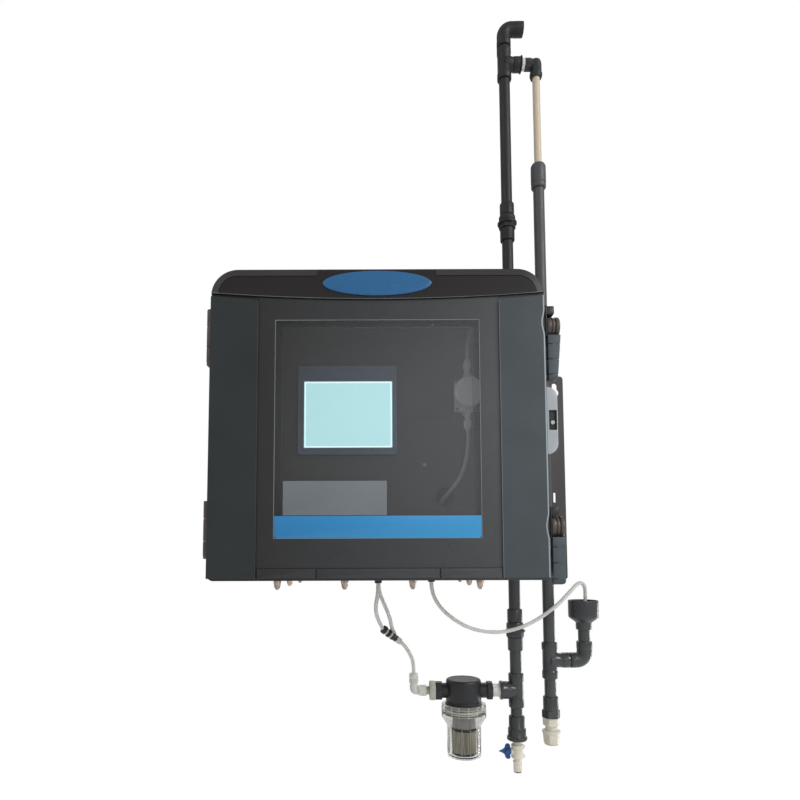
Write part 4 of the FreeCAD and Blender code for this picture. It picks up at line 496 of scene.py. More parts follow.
# A pale line round the right pillar's inner edge and top corner: a painted highlight
outline_right = pillar_outline(1, 0.0002)
corner_line = [outline_right[0]] + outline_right[-1:-8:-1]
make("pillar_line", shell([[(x, DOOR_Y + 0.0008, z), (x, DOOR_Y - 0.0001, z),
            (x + 0.0007, DOOR_Y - 0.0002, z), (x + 0.0007, DOOR_Y + 0.0008, z)] for x, z in corner_line]),
    pale_edge, body="door")
make("pillar_left", pillar(-1), trim_slate, ["door_trim"], body="door", sharp=12)
make("pillar_right", pillar(1), trim_slate_lit, body="door", sharp=12)
make("foot_bar", merge(foot(-0.1588, -0.0816), foot(-0.0804, 0.0804), foot(0.0816, 0.1618)), fascia_gloss,
    body="door")


def frame_of(outer, inner, back, front):
    """A flat frame between two outlines of as many points."""
    return shell([at(outer, back), at(outer, front), at(inner, front), at(inner, back)], True)


WINDOW = (-0.138, 0.137, -0.155, 0.14)
FASCIA_LOW = -0.1935
left, right, bottom, top = WINDOW


def plate(points):
    return shell([at(points, DOOR_BACK - 0.0001), at(points, FASCIA_Y - 0.0001)])


def upright(x0, x1):
    return [(x0, FASCIA_LOW), (x1, FASCIA_LOW), (x1, hood_edge(x1) - 0.001), (x0, hood_edge(x0) - 0.001)]


crown = [(left + (right - left) * step / 20, top) for step in range(21)]
crown += [(x, hood_edge(x) - 0.001) for x, z in reversed(crown)]
make("fascia", merge(plate(upright(-0.1598, left)), plate(upright(right, 0.1628)), plate(crown),
        plate([(left, FASCIA_LOW), (right, FASCIA_LOW), (right, bottom), (left, bottom)])), fascia_gloss,
    body="door")

EDGE_LINE = 0.0008
square = (0.001,) * 4
make("window_edge", frame_of(rounded(*WINDOW, square),
        rounded(left + EDGE_LINE, right - EDGE_LINE, bottom + EDGE_LINE, top - EDGE_LINE, square), -0.3118,
        FASCIA_Y - 0.0003), pale_edge, body="door")
make("stripe", pad(-0.1368, 0.1358, -0.1546, -0.125, (0.004, 0.0003, 0.0003, 0.004), FASCIA_Y,
        FASCIA_Y - 0.0004, 0.0002), stripe_blue, body="door")
make("notice", pad(-0.1257, 0.0116, -0.1243, -0.0786, (0.001,) * 4, FASCIA_Y, FASCIA_Y - 0.0004, 0.0002),
    notice_grey, body="door")

BADGE_X, BADGE_Z = -0.0005, 0.189
BADGE_W, BADGE_H = 0.073, 0.017


def oval(size, y):
    """An ellipse inside the badge's, the same distance in all round."""
    return [(BADGE_X + (BADGE_W - size) * math.cos(math.tau * i / 96), y,
            BADGE_Z + (BADGE_H - size) * math.sin(math.tau * i / 96)) for i in range(96)]


make("badge_plate", shell([oval(0, DOOR_Y), oval(0, DOOR_Y - 0.0012), oval(0.0007, DOOR_Y - 0.0016),
            oval(0.004, DOOR_Y - 0.0018), oval(0.0165, DOOR_Y - 0.002)]), badge_blue, ["badge"], body="door")


# Behind the window: panel seams, display frame and sensor

PANEL_Y = -0.245
BEZEL_Y = -0.251


def bar(x0, x1, z0, z1, y0, y1):
    return shell([at([(x0, z0), (x1, z0), (x1, z1), (x0, z1)], y) for y in (y0, y1)])


SEAMS = ((-0.1105, -0.1095, 0.0975, 0.171), (0.0255, 0.0265, 0.0975, 0.171), (0.0255, 0.0265, -0.12, -0.033),
    (0.0665, 0.0675, -0.12, 0.0215), (0.0278, 0.1078, 0.0205, 0.0215))
make("panel_seams", merge(*[bar(*seam, PANEL_Y, PANEL_Y - 0.0006) for seam in SEAMS]), seam_grey)
PANEL_SCREWS = ((0.0795, 0.1622), (0.0668, -0.0475))
make("panel_screws", merge(*[lathe(((0, 0.0042), (0.0012, 0.0042), (0.0022, 0.0022)), (x, PANEL_Y, z),
            (0, -1, 0), turns=24) for x, z in PANEL_SCREWS]), steel)

SCREEN = (-0.107, 0.02, -0.023, 0.074)
x0, x1, z0, z1 = SCREEN
make("screen_border", frame_of(rounded(x0 + 0.0012, x1 - 0.0012, z0 + 0.0012, z1 - 0.0012, square),
        rounded(x0 + 0.0022, x1 - 0.0022, z0 + 0.0022, z1 - 0.0022, square), -0.2504, -0.2507), screen_white)
make("bezel_step", frame_of(rounded(x0 - 0.003, x1 + 0.003, z0 - 0.003, z1 + 0.003, (0.0015,) * 4),
        rounded(x0, x1, z0, z1, (0.0002,) * 4), BEZEL_Y, BEZEL_Y - 0.0006), bezel_plastic)

SENSOR = (0.128, 0.051)
sensor_x, sensor_z = SENSOR
cap_rows = ((0, 0.0213), (0.0015, 0.0215), (0.0125, 0.0215), (0.014, 0.02), (0.014, 0.0172), (0.0134, 0.0168),
    (0.0134, 0.002))
make("sensor_cap_turned", lathe(cap_rows, (sensor_x, -0.266, sensor_z), (0, -1, 0), 0.0004, 72), sensor_metal,
    ["sensor_cap"])
corner_screws = [lathe(((0, 0.0024), (0.0014, 0.0024), (0.0018, 0.0018)),
        (sensor_x + side * 0.0148, -0.252, sensor_z + lift * 0.0188), (0, -1, 0), 0.0002, 24)
    for side in (-1, 1) for lift in (-1, 1)]
make("sensor_screws", merge(*corner_screws), steel)


def compression_fitting(side):
    """Body hexagon, neck and knurled nut on one end of the flow cell."""
    rows = ((0, 0.0056, 0.0056), (0.006, 0.0056, 0.0056), (0.006, 0.0043), (0.0095, 0.0043),
        (0.0095, 0.0066, 0.0064), (0.0105, 0.007, 0.0066), (0.02, 0.007, 0.0066), (0.021, 0.0066, 0.0064),
        (0.021, 0.0046), (0.024, 0.0046))
    return lathe(rows, (sensor_x, -0.2585, sensor_z + side * 0.027), (0, 0, side), 0.0003)


make("sensor_nuts", merge(compression_fitting(1), compression_fitting(-1)), sensor_metal, ["sensor_fittings"])


# Latches and hinges

def block(x0, x1, y0, y1, z0, z1, ease=0.0006, corner=0.0008):
    """A box with eased edges."""
    def loop(inset, y):
        return at(rounded(x0 + inset, x1 - inset, z0 + inset, z1 - inset, (corner,) * 4, 3), y)
    return shell([loop(ease, y0), loop(0, y0 + ease), loop(0, y1 - ease), loop(ease, y1)])


LATCH_Y = -0.293
LATCH_FRONT = -0.308
LATCH_NEAR, LATCH_FAR = 0.2297, 0.2477
BLADE_BACK = -0.297
GROOVES = (-0.0266, -0.0476, -0.0686)
BLADE_TOP, BLADE_END = -0.0138, -0.076
BLADE_TAPERS = (0.005, 0.0012)


def blade_far(down, taper):
    """The blade's outer edge, which draws in towards its end."""
    return LATCH_FAR - taper * (down - BLADE_TOP) / (BLADE_END - BLADE_TOP)


def blade(z, taper):
    """The lever's ribbed blade, as level slices from the hub down to its rounded end."""
    rows = [(BLADE_TOP, 0.0004, 0), (-0.0146, 0, 0)]
    for groove in GROOVES:
        rows += [(groove + 0.001, 0, 0), (groove + 0.0006, 0.0009, 0), (groove - 0.0006, 0.0009, 0),
            (groove - 0.001, 0, 0)]
    rows += [(-0.0722, 0, 0), (-0.0742, 0, 0.0008), (-0.0754, 0.0003, 0.0024), (BLADE_END, 0.0012, 0.0044)]
    loops = []
    for down, inset, round_off in rows:
        outline = rounded(LATCH_NEAR + inset * 0.3, blade_far(down, taper) - inset * 0.3 - round_off,
            LATCH_FRONT + inset, BLADE_BACK, (0.0012, 0.0012, 0.0012, 0.0012), 4)
        loops.append([(x, y, z + down) for x, y in outline])
    return shell(loops)


HUB_ROWS = ((0, 0.0138), (0.0008, 0.015), (0.006, 0.015), (0.0066, 0.0138), (0.0074, 0.0138), (0.008, 0.0146),
    (0.0108, 0.0146), (0.0114, 0.0132), (0.0124, 0.0132), (0.013, 0.015), (0.017, 0.0149), (0.018, 0.0136))
for name, z, taper in zip(("latch_upper", "latch_lower"), LATCH_Z, BLADE_TAPERS):
    make(name + "_blade", blade(z, taper), lever_slate, [name.replace("latch", "latch_lever")],
        body=name)
    make(name + "_hub", lathe(HUB_ROWS, (LATCH_NEAR, LATCH_Y, z), (1, 0, 0), 0.0003, 64), latch_brown,
        body=name)
    make(name + "_lines", merge(*[bar(LATCH_NEAR + 0.0065, blade_far(groove, taper) - 0.001,
            z + groove - 0.0004, z + groove + 0.0003, LATCH_FRONT + 0.0012, LATCH_FRONT + 0.0004)
            for groove in GROOVES]), pale_edge, body=name)


def latch_bracket(z):
    """Foot on the cabinet's side, tab beside the lever, ear over the hub, and the capped pin."""
    return merge(block(0.2201, 0.2268, -0.28, -0.258, z - 0.015, z + 0.027),
        block(0.2266, 0.2294, -0.308, -0.258, z - 0.015, z + 0.027, 0.0005, 0.0012),
        block(0.2266, 0.2401, -0.306, -0.29, z + 0.0156, z + 0.027, 0.0008, 0.0014), lathe(
            ((0, 0.0034), (0.0186, 0.0034), (0.0186, 0.0055), (0.0197, 0.0055), (0.0201, 0.0048)),
            (0.2294, LATCH_Y, z), (1, 0, 0), 0.0002, 32))


make("latch_brackets", merge(*[latch_bracket(z) for z in LATCH_Z]), fitting_black, ["latch_bases"])

HINGE_X, HINGE_Y = -0.231, -0.29
HINGE_Z = (0.124, -0.142)
KNUCKLE_R = 0.0055
HINGE_HALF, DOOR_KNUCKLE = 0.039, 0.015


def barrel(low, high, blunt=0.0008):
    return lathe(((0, KNUCKLE_R - blunt), (blunt * 2, KNUCKLE_R), (high - low - 0.0006, KNUCKLE_R),
            (high - low, KNUCKLE_R - 0.0006)), (HINGE_X, HINGE_Y, low), (0, 0, 1), 0.0001, 40)


def body_leaf(middle):
    """Leaf on the cabinet's side with the hinge's outer knuckles."""
    low, high = middle - HINGE_HALF, middle + HINGE_HALF
    gap = DOOR_KNUCKLE + 0.0003
    return merge(block(-0.223, -0.2201, -0.283, -0.257, low, high),
        block(-0.2365, -0.2201, -0.2829, -0.28, low, high),
        block(-0.2365, -0.2265, -0.29, -0.2805, low, middle - gap),
        block(-0.2365, -0.2265, -0.29, -0.2805, middle + gap, high), barrel(low, middle - gap, 0.0022),
        barrel(middle + gap, high))


def door_leaf(middle):
    """Leaf on the door's side with the middle knuckle."""
    low, high = middle - DOOR_KNUCKLE, middle + DOOR_KNUCKLE
    return merge(block(-0.228, -0.2251, -0.31, -0.288, low, high), barrel(low, high, 0.0005))


make("hinge_bodies", merge(*[body_leaf(z) for z in HINGE_Z]), latch_brown, ["hinge_body_leaves"])
make("hinge_doors", merge(*[door_leaf(z) for z in HINGE_Z]), latch_brown, ["hinge_door_leaves"],
    body="door")


# Pipework: turned and bent fittings in one plane

PIPE_Y = -0.045
RISER, DRAIN, FUNNEL, STRAINER, ELBOW = 0.236, 0.2955, 0.3565, 0.1444, 0.058
SAMPLE, DRAIN_TEE, TOP_BRANCH, VENT = -0.411, -0.36, 0.7435, 0.814
MOUTH, WAIST, COLLAR = 0.0131, 0.0123, 0.012


def upright_turned(x, rows, ease=0.0004, turns=48, around=False):
    """A solid turned about an upright line in the pipes' plane. Rows start with a height."""
    return lathe(rows, (x, PIPE_Y, 0), (0, 0, 1), ease, turns, around)


def level_turned(z, rows, ease=0.0004, turns=48):
    """A solid turned about a level line in the pipes' plane. Rows start with an X."""
    return lathe(rows, (0, PIPE_Y, z), (1, 0, 0), ease, turns)


def socket_rows(mouth, inward, radius=MOUTH):
    """A socket from its mouth inwards, with an eased lip and a step down to the fitting's waist."""
    return ((mouth, radius - 0.0011), (mouth + inward * 0.001, radius), (mouth + inward * COLLAR, radius),
        (mouth + inward * (COLLAR + 0.0018), WAIST))


def tee_turned(x, z, half, reach, radius=MOUTH):
    """A tee's upright run, its branch to the right, and the collar where they meet."""
    low, high = socket_rows(z - half, 1, radius), socket_rows(z + half, -1, radius)
    branch = ((x, WAIST),) + tuple(reversed(socket_rows(x + reach, -1)))
    collar = ((x, MOUTH + 0.0012), (x + 0.0075, MOUTH + 0.001), (x + 0.0165, WAIST - 0.0002))
    return merge(upright_turned(x, low + tuple(reversed(high))), level_turned(z, branch),
        level_turned(z, collar))


def bend(corner, side, up, radius, out, rise):
    """A quarter bend from a level leg, out from its corner to one side, into an upright one."""
    x, z = corner
    centre_x, centre_z = x + side * radius, z + up * radius
    path = [(x + side * out, PIPE_Y, z)]
    for step in range(13):
        turn = math.pi / 2 * step / 12
        path.append((centre_x - side * radius * math.sin(turn), PIPE_Y,
            centre_z - up * radius * math.cos(turn)))
    return path + [(x, PIPE_Y, z + up * rise)]


make("vent_elbow_turned", merge(sweep(bend((RISER, VENT), 1, -1, 0.0138, 0.026, 0.026), 0.0128),
        upright_turned(RISER, socket_rows(0.7775, 1)), level_turned(VENT, ((0.256, 0.0128), (0.259, 0.013),
            (0.2721, 0.013), (0.2725, 0.0126), (0.2725, 0.0102), (0.259, 0.0102)))), pipe_grey,
    ["vent_elbow"])
make("overflow_tee_turned", tee_turned(RISER, TOP_BRANCH, 0.0315, 0.03), pipe_grey, ["overflow_tee"])

WEIR_LEVEL_ROWS = ((0.255, 0.0088), (0.266, 0.0088), (0.266, 0.0142), (0.2668, 0.0148), (0.268, 0.0148),
    (0.2683, 0.0092), (0.2742, 0.0092), (0.2742, 0.011, 0.0112), (0.286, 0.011, 0.0112), (0.286, 0.0096),
    (DRAIN, 0.0098))
WEIR_UPRIGHT_ROWS = ((0.716, 0.0082), (0.716, 0.0099), (0.7168, 0.0107), (0.7196, 0.0107), (0.7199, 0.0117),
    (0.724, 0.0117), (0.7244, 0.0107), (0.7436, 0.0107), (0.749, 0.0093), (0.7525, 0.006), (0.7541, 0.002))
make("weir_turned",
    merge(level_turned(TOP_BRANCH, WEIR_LEVEL_ROWS), upright_turned(DRAIN, WEIR_UPRIGHT_ROWS)), fitting_black,
    ["weir_fitting"])


def taped(z, start, end, radius, depth):
    """Thread tape: turns of uneven width and thickness."""
    rows = [(start, radius - depth)]
    turns = max(3, round((end - start) / 0.0011))
    for step in range(turns):
        x = start + (end - start) * (step + 0.5) / turns
        rows.append((x, radius - depth * (0.25 + 0.6 * (step % 2)), 7 + 2 * (step % 3), depth * 0.5))
    return level_turned(z, tuple(rows) + ((end, radius - depth),), 0.0001, 56)


make("weir_tape", taped(TOP_BRANCH, 0.2683, 0.2741, 0.0106, 0.0008), tape_white)
REDUCER_ROWS = ((0.499, 0.0121), (0.5008, 0.0134), (0.5078, 0.0134), (0.5082, 0.013), (0.5088, 0.0137),
    (0.541, 0.0137), (0.545, 0.0117), (0.546, 0.0098), (0.5458, 0.007))
make("reducer_turned", upright_turned(DRAIN, REDUCER_ROWS), pipe_lit_top, ["drain_reducer"])

UNIONS = (("upper", 0.434), ("lower", -0.307))


def union_body(z):
    """Socketed body and tail of a union, which meet inside its nut."""
    return merge(upright_turned(RISER, ((z - 0.036, 0.0119), (z - 0.0348, 0.013), (z - 0.015, 0.013),
            (z - 0.0144, 0.0134), (z - 0.0136, 0.0134), (z - 0.0134, 0.0117), (z + 0.003, 0.0117))),
        upright_turned(RISER, ((z + 0.0032, 0.0117), (z + 0.006, 0.0117), (z + 0.006, 0.011),
            (z + 0.0134, 0.011), (z + 0.0136, 0.013), (z + 0.0344, 0.013), (z + 0.036, 0.0114))))


def union_nut(z):
    """Hexagon below, raised ring, and a finely ribbed collar above."""
    return upright_turned(RISER, ((z - 0.0125, 0.0142), (z - 0.0118, 0.0155, 0.0157),
            (z - 0.0048, 0.0155, 0.0157), (z - 0.0042, 0.0168), (z - 0.0034, 0.0175), (z - 0.0008, 0.0175),
            (z, 0.0166), (z + 0.0004, 0.0143), (z + 0.0016, 0.0143), (z + 0.0018, 0.0149, 24, 0.0004),
            (z + 0.01, 0.0149, 24, 0.0004), (z + 0.0102, 0.0146), (z + 0.0125, 0.0136)), 0.0001, 144)


make("union_bodies", merge(*[union_body(z) for name, z in UNIONS]), pipe_grey, ["union_ends"])
for name, z in UNIONS:
    make("nut_" + name + "_turned", union_nut(z), pipe_grey, ["union_nut_" + name], body="nut_" + name)

# Sample tee, inlet adapter and ball valve

make("sample_tee_turned", merge(upright_turned(RISER,
            socket_rows(SAMPLE - 0.029, 1) + tuple(reversed(socket_rows(SAMPLE + 0.029, -1)))), level_turned(
            SAMPLE, ((0.2075, 0.0148), (0.208, 0.016), (0.2112, 0.016), (0.2118, 0.0152), (0.224, 0.0148),
            (RISER, 0.0125)))), pipe_grey, ["sample_tee"])
INLET_ADAPTER_ROWS = ((-0.4955, 0.0153), (-0.4942, 0.0171), (-0.4936, 0.0173), (-0.4897, 0.0173),
    (-0.4893, 0.0154), (-0.476, 0.0154, 12, 0.0004), (-0.4755, 0.015), (-0.4752, 0.0136), (-0.4556, 0.0136),
    (-0.4545, 0.0124))
make("inlet_adapter_turned", upright_turned(RISER, INLET_ADAPTER_ROWS, 0.0003, 96), pipe_grey,
    ["inlet_adapter"])

VALVE_MID = -0.51425


def sheet_cut(outline, y0, y1, ease=0.0005):
    """A flat part of this outline in X and Z, with its faces drawn in a little towards its middle."""
    mid_x = sum(x for x, z in outline) / len(outline)
    mid_z = sum(z for x, z in outline) / len(outline)

    def loop(inset, y):
        moved = []
        for x, z in outline:
            far = math.hypot(x - mid_x, z - mid_z)
            moved.append((x + (mid_x - x) * inset / far, y, z + (mid_z - z) * inset / far))
        return moved
    return shell([loop(ease, y0), loop(0, y0 + ease), loop(0, y1 - ease), loop(ease, y1)])


HORNS = ((0.238, -0.524), (0.2486, -0.5248), (0.2484, -0.5216), (0.2452, -0.5178), (0.2446, VALVE_MID),
    (0.2452, -0.5106), (0.2484, -0.5068), (0.2486, -0.504), (0.238, -0.5048))
VALVE_ROWS = ((-0.545, 0.003), (-0.548, 0.0034), (-0.548, 0.0062), (-0.547, 0.0072, 20, 0.0004),
    (-0.533, 0.0072, 20, 0.0004), (-0.5322, 0.0078), (-0.5302, 0.0078), (-0.5295, 0.006), (-0.5262, 0.006),
    (-0.5256, 0.0098), (-0.524, 0.0108), (-0.52, 0.0096), (VALVE_MID, 0.0088), (-0.5085, 0.0096),
    (-0.504, 0.0108), (-0.5028, 0.0098), (-0.5024, 0.0068), (-0.4956, 0.0068))
make("valve_turned", merge(upright_turned(RISER, VALVE_ROWS, 0.0002, 80),
        sheet_cut(HORNS, PIPE_Y - 0.003, PIPE_Y + 0.003),
        level_turned(VALVE_MID, ((0.2241, 0.005), (0.2246, 0.006), (0.229, 0.006)))), white_plastic,
    ["valve_body"])
make("valve_ring", upright_turned(RISER,
        ((-0.5495, 0.0038), (-0.5495, 0.006), (-0.5492, 0.0065), (-0.548, 0.0065), (-0.5478, 0.0038)), 0.0001,
        48, True), ring_dark)
NEAR = 0.2237
LEVER = ((NEAR, -0.0112), (NEAR - 0.0018, -0.0128), (NEAR - 0.0052, -0.013), (NEAR - 0.0084, -0.0106),
    (NEAR - 0.0098, -0.0056), (NEAR - 0.0128, -0.003), (NEAR - 0.02, 0.0), (NEAR - 0.0128, 0.0032),
    (NEAR - 0.0098, 0.006), (NEAR - 0.0082, 0.0112), (NEAR - 0.0052, 0.013), (NEAR - 0.0018, 0.0124),
    (NEAR, 0.0096))
make("valve_lever_cut", merge(
        sheet_cut([(x, VALVE_MID + z) for x, z in LEVER], PIPE_Y - 0.0016, PIPE_Y + 0.0016), level_turned(
            VALVE_MID, ((0.2147, 0.0034), (0.2157, 0.005), (0.2225, 0.006), (0.2235, 0.0056), (0.2237, 0.003),
            (0.228, 0.0029)), 0.0004, 40), sheet_cut([(NEAR - 0.001, VALVE_MID - 0.01),
            (NEAR - 0.003, VALVE_MID - 0.01), (NEAR - 0.0045, VALVE_MID), (NEAR - 0.003, VALVE_MID + 0.01),
            (NEAR - 0.001, VALVE_MID + 0.01)], PIPE_Y - 0.0034, PIPE_Y + 0.0034)), lever_blue,
    ["valve_lever"], body="valve_handle")


# Drain column, funnel and outlet

make("drain_tee_turned", tee_turned(DRAIN, DRAIN_TEE, 0.031, 0.034, radius=0.0134), pipe_grey, ["drain_tee"])
make("branch_elbow_turned", merge(sweep(bend((FUNNEL, DRAIN_TEE), -1, 1, 0.015, 0.0255, 0.032), 0.013),
        level_turned(DRAIN_TEE, ((0.3305, 0.0122), (0.3313, 0.0132), (0.34, 0.0132), (0.3408, 0.0128)),
            0.0002), upright_turned(FUNNEL,
            ((-0.3405, 0.0128), (-0.3398, 0.0133), (-0.3284, 0.0133), (-0.3275, 0.0122)), 0.0002)), pipe_grey,
    ["branch_elbow"])
FUNNEL_ROWS = ((-0.3075, 0.012), (-0.3066, 0.0134), (-0.296, 0.0134), (-0.2945, 0.014), (-0.2868, 0.0246),
    (-0.285, 0.0254), (-0.282, 0.0256), (-0.2575, 0.0256), (-0.2565, 0.0251), (-0.2565, 0.0241),
    (-0.2575, 0.0237), (-0.283, 0.0235), (-0.286, 0.0225), (-0.292, 0.0095), (-0.2925, 0.002))
make("funnel_turned", upright_turned(FUNNEL, FUNNEL_ROWS, 0.0006, 72), pipe_grey, ["funnel"])
DRAIN_ADAPTER_ROWS = ((-0.457, 0.0148), (-0.4562, 0.0158, 0.016), (-0.4453, 0.0158, 0.016),
    (-0.4446, 0.015, 0.0156), (-0.4444, 0.013), (-0.4226, 0.0128), (-0.4215, 0.0117))
make("drain_adapter_turned", upright_turned(DRAIN, DRAIN_ADAPTER_ROWS, 0.0002, 72), pipe_grey,
    ["drain_adapter"])
DRAIN_TAIL_ROWS = ((-0.484, 0.006), (-0.503, 0.0063), (-0.503, 0.0112), (-0.5022, 0.012), (-0.5011, 0.012),
    (-0.5009, 0.01), (-0.477, 0.01), (-0.473, 0.0102), (-0.4706, 0.0122), (-0.4698, 0.0142, 0.015),
    (-0.4582, 0.0147, 0.015), (-0.4572, 0.0135))
make("drain_tail_turned", upright_turned(DRAIN, DRAIN_TAIL_ROWS, 0.0003, 72), white_plastic, ["drain_tail"])
DRAIN_NUT_ROWS = ((-0.5007, 0.0102), (-0.5007, 0.0126), (-0.499, 0.0136, 0.014), (-0.484, 0.0148, 0.015),
    (-0.4832, 0.0148, 0.015), (-0.4828, 0.0156), (-0.48, 0.0157), (-0.479, 0.0148), (-0.479, 0.0102))
make("drain_nut_turned", upright_turned(DRAIN, DRAIN_NUT_ROWS, 0.0002, 72, True), white_plastic,
    ["drain_nut"], body="outlet_nut")

# Strainer: head, ports, bowl and mesh

HEAD_LOW = -0.433
head_parts = [upright_turned(STRAINER, ((HEAD_LOW + 0.0002, 0.03), (HEAD_LOW + 0.0008, 0.0305),
            (-0.4292, 0.0305), (-0.4288, 0.0299), (-0.4278, 0.0299), (-0.4274, 0.0305), (-0.3945, 0.0302),
            (-0.3921, 0.029), (-0.3911, 0.0272), (-0.3911, 0.024), (-0.3915, 0.0236)), 0.0004, 80)]
for side, nut in ((-1, 0.0378), (1, 0.0403)):
    head_parts.append(lathe(((0.02, 0.0128), (nut, 0.0128), (nut, 0.015), (nut + 0.0004, 0.0163, 0.0165),
            (0.0487, 0.0163, 0.0165), (0.0493, 0.015), (0.0493, 0.0106), (0.038, 0.0104)),
            (STRAINER, PIPE_Y, SAMPLE), (side, 0, 0), 0.0003, 72))
make("strainer_head", merge(*head_parts), fitting_black, ["filter_head"])
thread_rows = [(-0.452, 0.029), (-0.452, 0.0308)]
for low in (-0.452, -0.448, -0.444):
    thread_rows += [(low + 0.0006, 0.0328), (low + 0.002, 0.0328), (low + 0.0026, 0.0306),
        (low + 0.004, 0.0306)]
thread_rows += [(-0.4394, 0.0326), (-0.4334, 0.0326), (-0.4334, 0.029)]
COLLAR_ROWS = ((-0.4735, 0.015), (-0.4735, 0.0196, 16, 0.0012), (-0.456, 0.02, 16, 0.0012), (-0.45, 0.029),
    (-0.4334, 0.029))
make("strainer_thread", merge(upright_turned(STRAINER, thread_rows, 0.0001, 80, True),
        upright_turned(STRAINER, COLLAR_ROWS, 0.0002, 96)), thread_grey)
# Pale rings and upright lines on the thread inside the bowl: painted highlights
highlight_lines = [upright_turned(STRAINER,
        ((z - 0.0005, 0.0322), (z - 0.0005, 0.0332), (z + 0.0005, 0.0332), (z + 0.0005, 0.0322)), 0.0001, 80,
        True) for z in (-0.4387, -0.4427, -0.4467, -0.4507)]
for turn in (-2.35, -1.95, -1.45, -0.95, 0.5, 1.6, 2.7):
    highlight_lines.append(lathe(((0, 0.0003), (0.0005, 0.0006), (0.0175, 0.0006), (0.018, 0.0003)),
            (STRAINER + 0.0325 * math.cos(turn), PIPE_Y + 0.0325 * math.sin(turn), -0.452), (0, 0, 1), 0.0001,
            12))
make("strainer_highlights", merge(*highlight_lines), tape_white)
BOWL_ROWS = ((-0.5196, 0.001), (-0.5196, 0.023), (-0.521, 0.0246), (-0.521, 0.0276), (-0.52, 0.0288),
    (-0.5186, 0.029), (-0.4695, 0.0292), (-0.468, 0.03), (-0.4566, 0.0372), (-0.455, 0.0384), (-0.45, 0.0385),
    (-0.4494, 0.0373), (-0.4482, 0.0373), (-0.4476, 0.0385), (-0.445, 0.0385), (-0.4444, 0.0373),
    (-0.4432, 0.0373), (-0.4426, 0.0385), (-0.44, 0.0385), (-0.4394, 0.0373), (-0.4382, 0.0373),
    (-0.4376, 0.0384), (-0.434, 0.038), (-0.4332, 0.037), (-0.4332, 0.034), (-0.453, 0.0338),
    (-0.4575, 0.033), (-0.468, 0.0272), (-0.471, 0.0266), (-0.516, 0.0263), (-0.5172, 0.025),
    (-0.5174, 0.001))
make("strainer_bowl_turned", upright_turned(STRAINER, BOWL_ROWS, 0.0004, 96), clear_bowl, ["filter_bowl"],
    body="strainer_bowl")
ribs = []
for step in range(12):
    turn = math.tau * (step + 0.5) / 12
    foot_x, foot_y = STRAINER + 0.0274 * math.cos(turn), PIPE_Y + 0.0274 * math.sin(turn)
    ribs.append(lathe(((0, 0.0004), (0.001, 0.0007), (0.041, 0.0007), (0.043, 0.0004)),
            (foot_x, foot_y, -0.514), (0, 0, 1), 0.0001, 12))
make("strainer_ribs", merge(*ribs), thread_grey, body="strainer_bowl")


def pleats(low, high, radius):
    return upright_turned(STRAINER, ((low, radius - 0.002), (low, radius, 40, 0.0007),
            (high, radius, 40, 0.0007), (high, radius - 0.002)), 0.0001, 240, True)


make("strainer_mesh", pleats(-0.5145, -0.4765, 0.021), mesh_steel, ["filter_mesh"])
TOP_RING_ROWS = ((-0.4772, 0.01), (-0.4772, 0.0205), (-0.4768, 0.0213), (-0.4738, 0.0213), (-0.473, 0.0205),
    (-0.473, 0.01))
make("strainer_rings", merge(upright_turned(STRAINER, ((-0.518, 0.015), (-0.518, 0.0205), (-0.5172, 0.0213),
            (-0.5142, 0.0213), (-0.5138, 0.0205), (-0.5138, 0.015)), 0.0002, 64),
        upright_turned(STRAINER, TOP_RING_ROWS, 0.0002, 64)), ring_dark)

make("nipple_tape", taped(SAMPLE, 0.1932, 0.2078, 0.0118, 0.0014), tape_white, ["filter_nipple"])
ADAPTER_BARB_ROWS = ((0.079, 0.0068), (0.0812, 0.0072), (0.0818, 0.0068), (0.083, 0.0072), (0.0836, 0.0068),
    (0.0848, 0.0072), (0.0854, 0.007))
make("port_adapter", merge(level_turned(SAMPLE, ((0.0851, 0.012), (0.0851, 0.015),
            (0.0858, 0.0164, 24, 0.0007), (0.0943, 0.0165, 24, 0.0007), (0.0951, 0.0155)), 0.0002, 144),
        level_turned(SAMPLE, ADAPTER_BARB_ROWS, 0.0001)), tan_plastic, ["filter_adapter"])

# White elbow beside the strainer, and the Y connector

ELBOW_NUT_ROWS = ((0.066, 0.0068), (0.0665, 0.0086), (0.0678, 0.0096, 0.0099), (0.0785, 0.0098, 0.0099),
    (0.0797, 0.009), (0.08, 0.007))
make("elbow_nut", level_turned(SAMPLE, ELBOW_NUT_ROWS, 0.0004, 72), milky, ["elbow_fitting"])
ELBOW_ROWS = ((-0.399, 0.0069), (-0.3955, 0.008), (-0.3925, 0.008), (-0.3918, 0.007), (-0.3906, 0.007),
    (-0.39, 0.0079), (-0.3835, 0.0078), (-0.3815, 0.0064), (-0.381, 0.0034), (-0.383, 0.0033))
make("elbow_body", merge(sweep(bend((ELBOW, SAMPLE), 1, 1, 0.004, 0.009, 0.02), 0.0069),
        upright_turned(ELBOW, ELBOW_ROWS, 0.0003)), milky)

Y_START, Y_END = Vector((0.0045, -0.084, -0.3)), Vector((0.0345, -0.07, -0.324))
Y_BRANCH = Vector((0.021, -0.076, -0.3045))
Y_WAY = (Y_END - Y_START).normalized()
Y_MIDDLE = Y_START + (Y_END - Y_START) * 0.7


def y_turned(*rows):
    return lathe(rows, Y_START, Y_WAY, 0.0003)


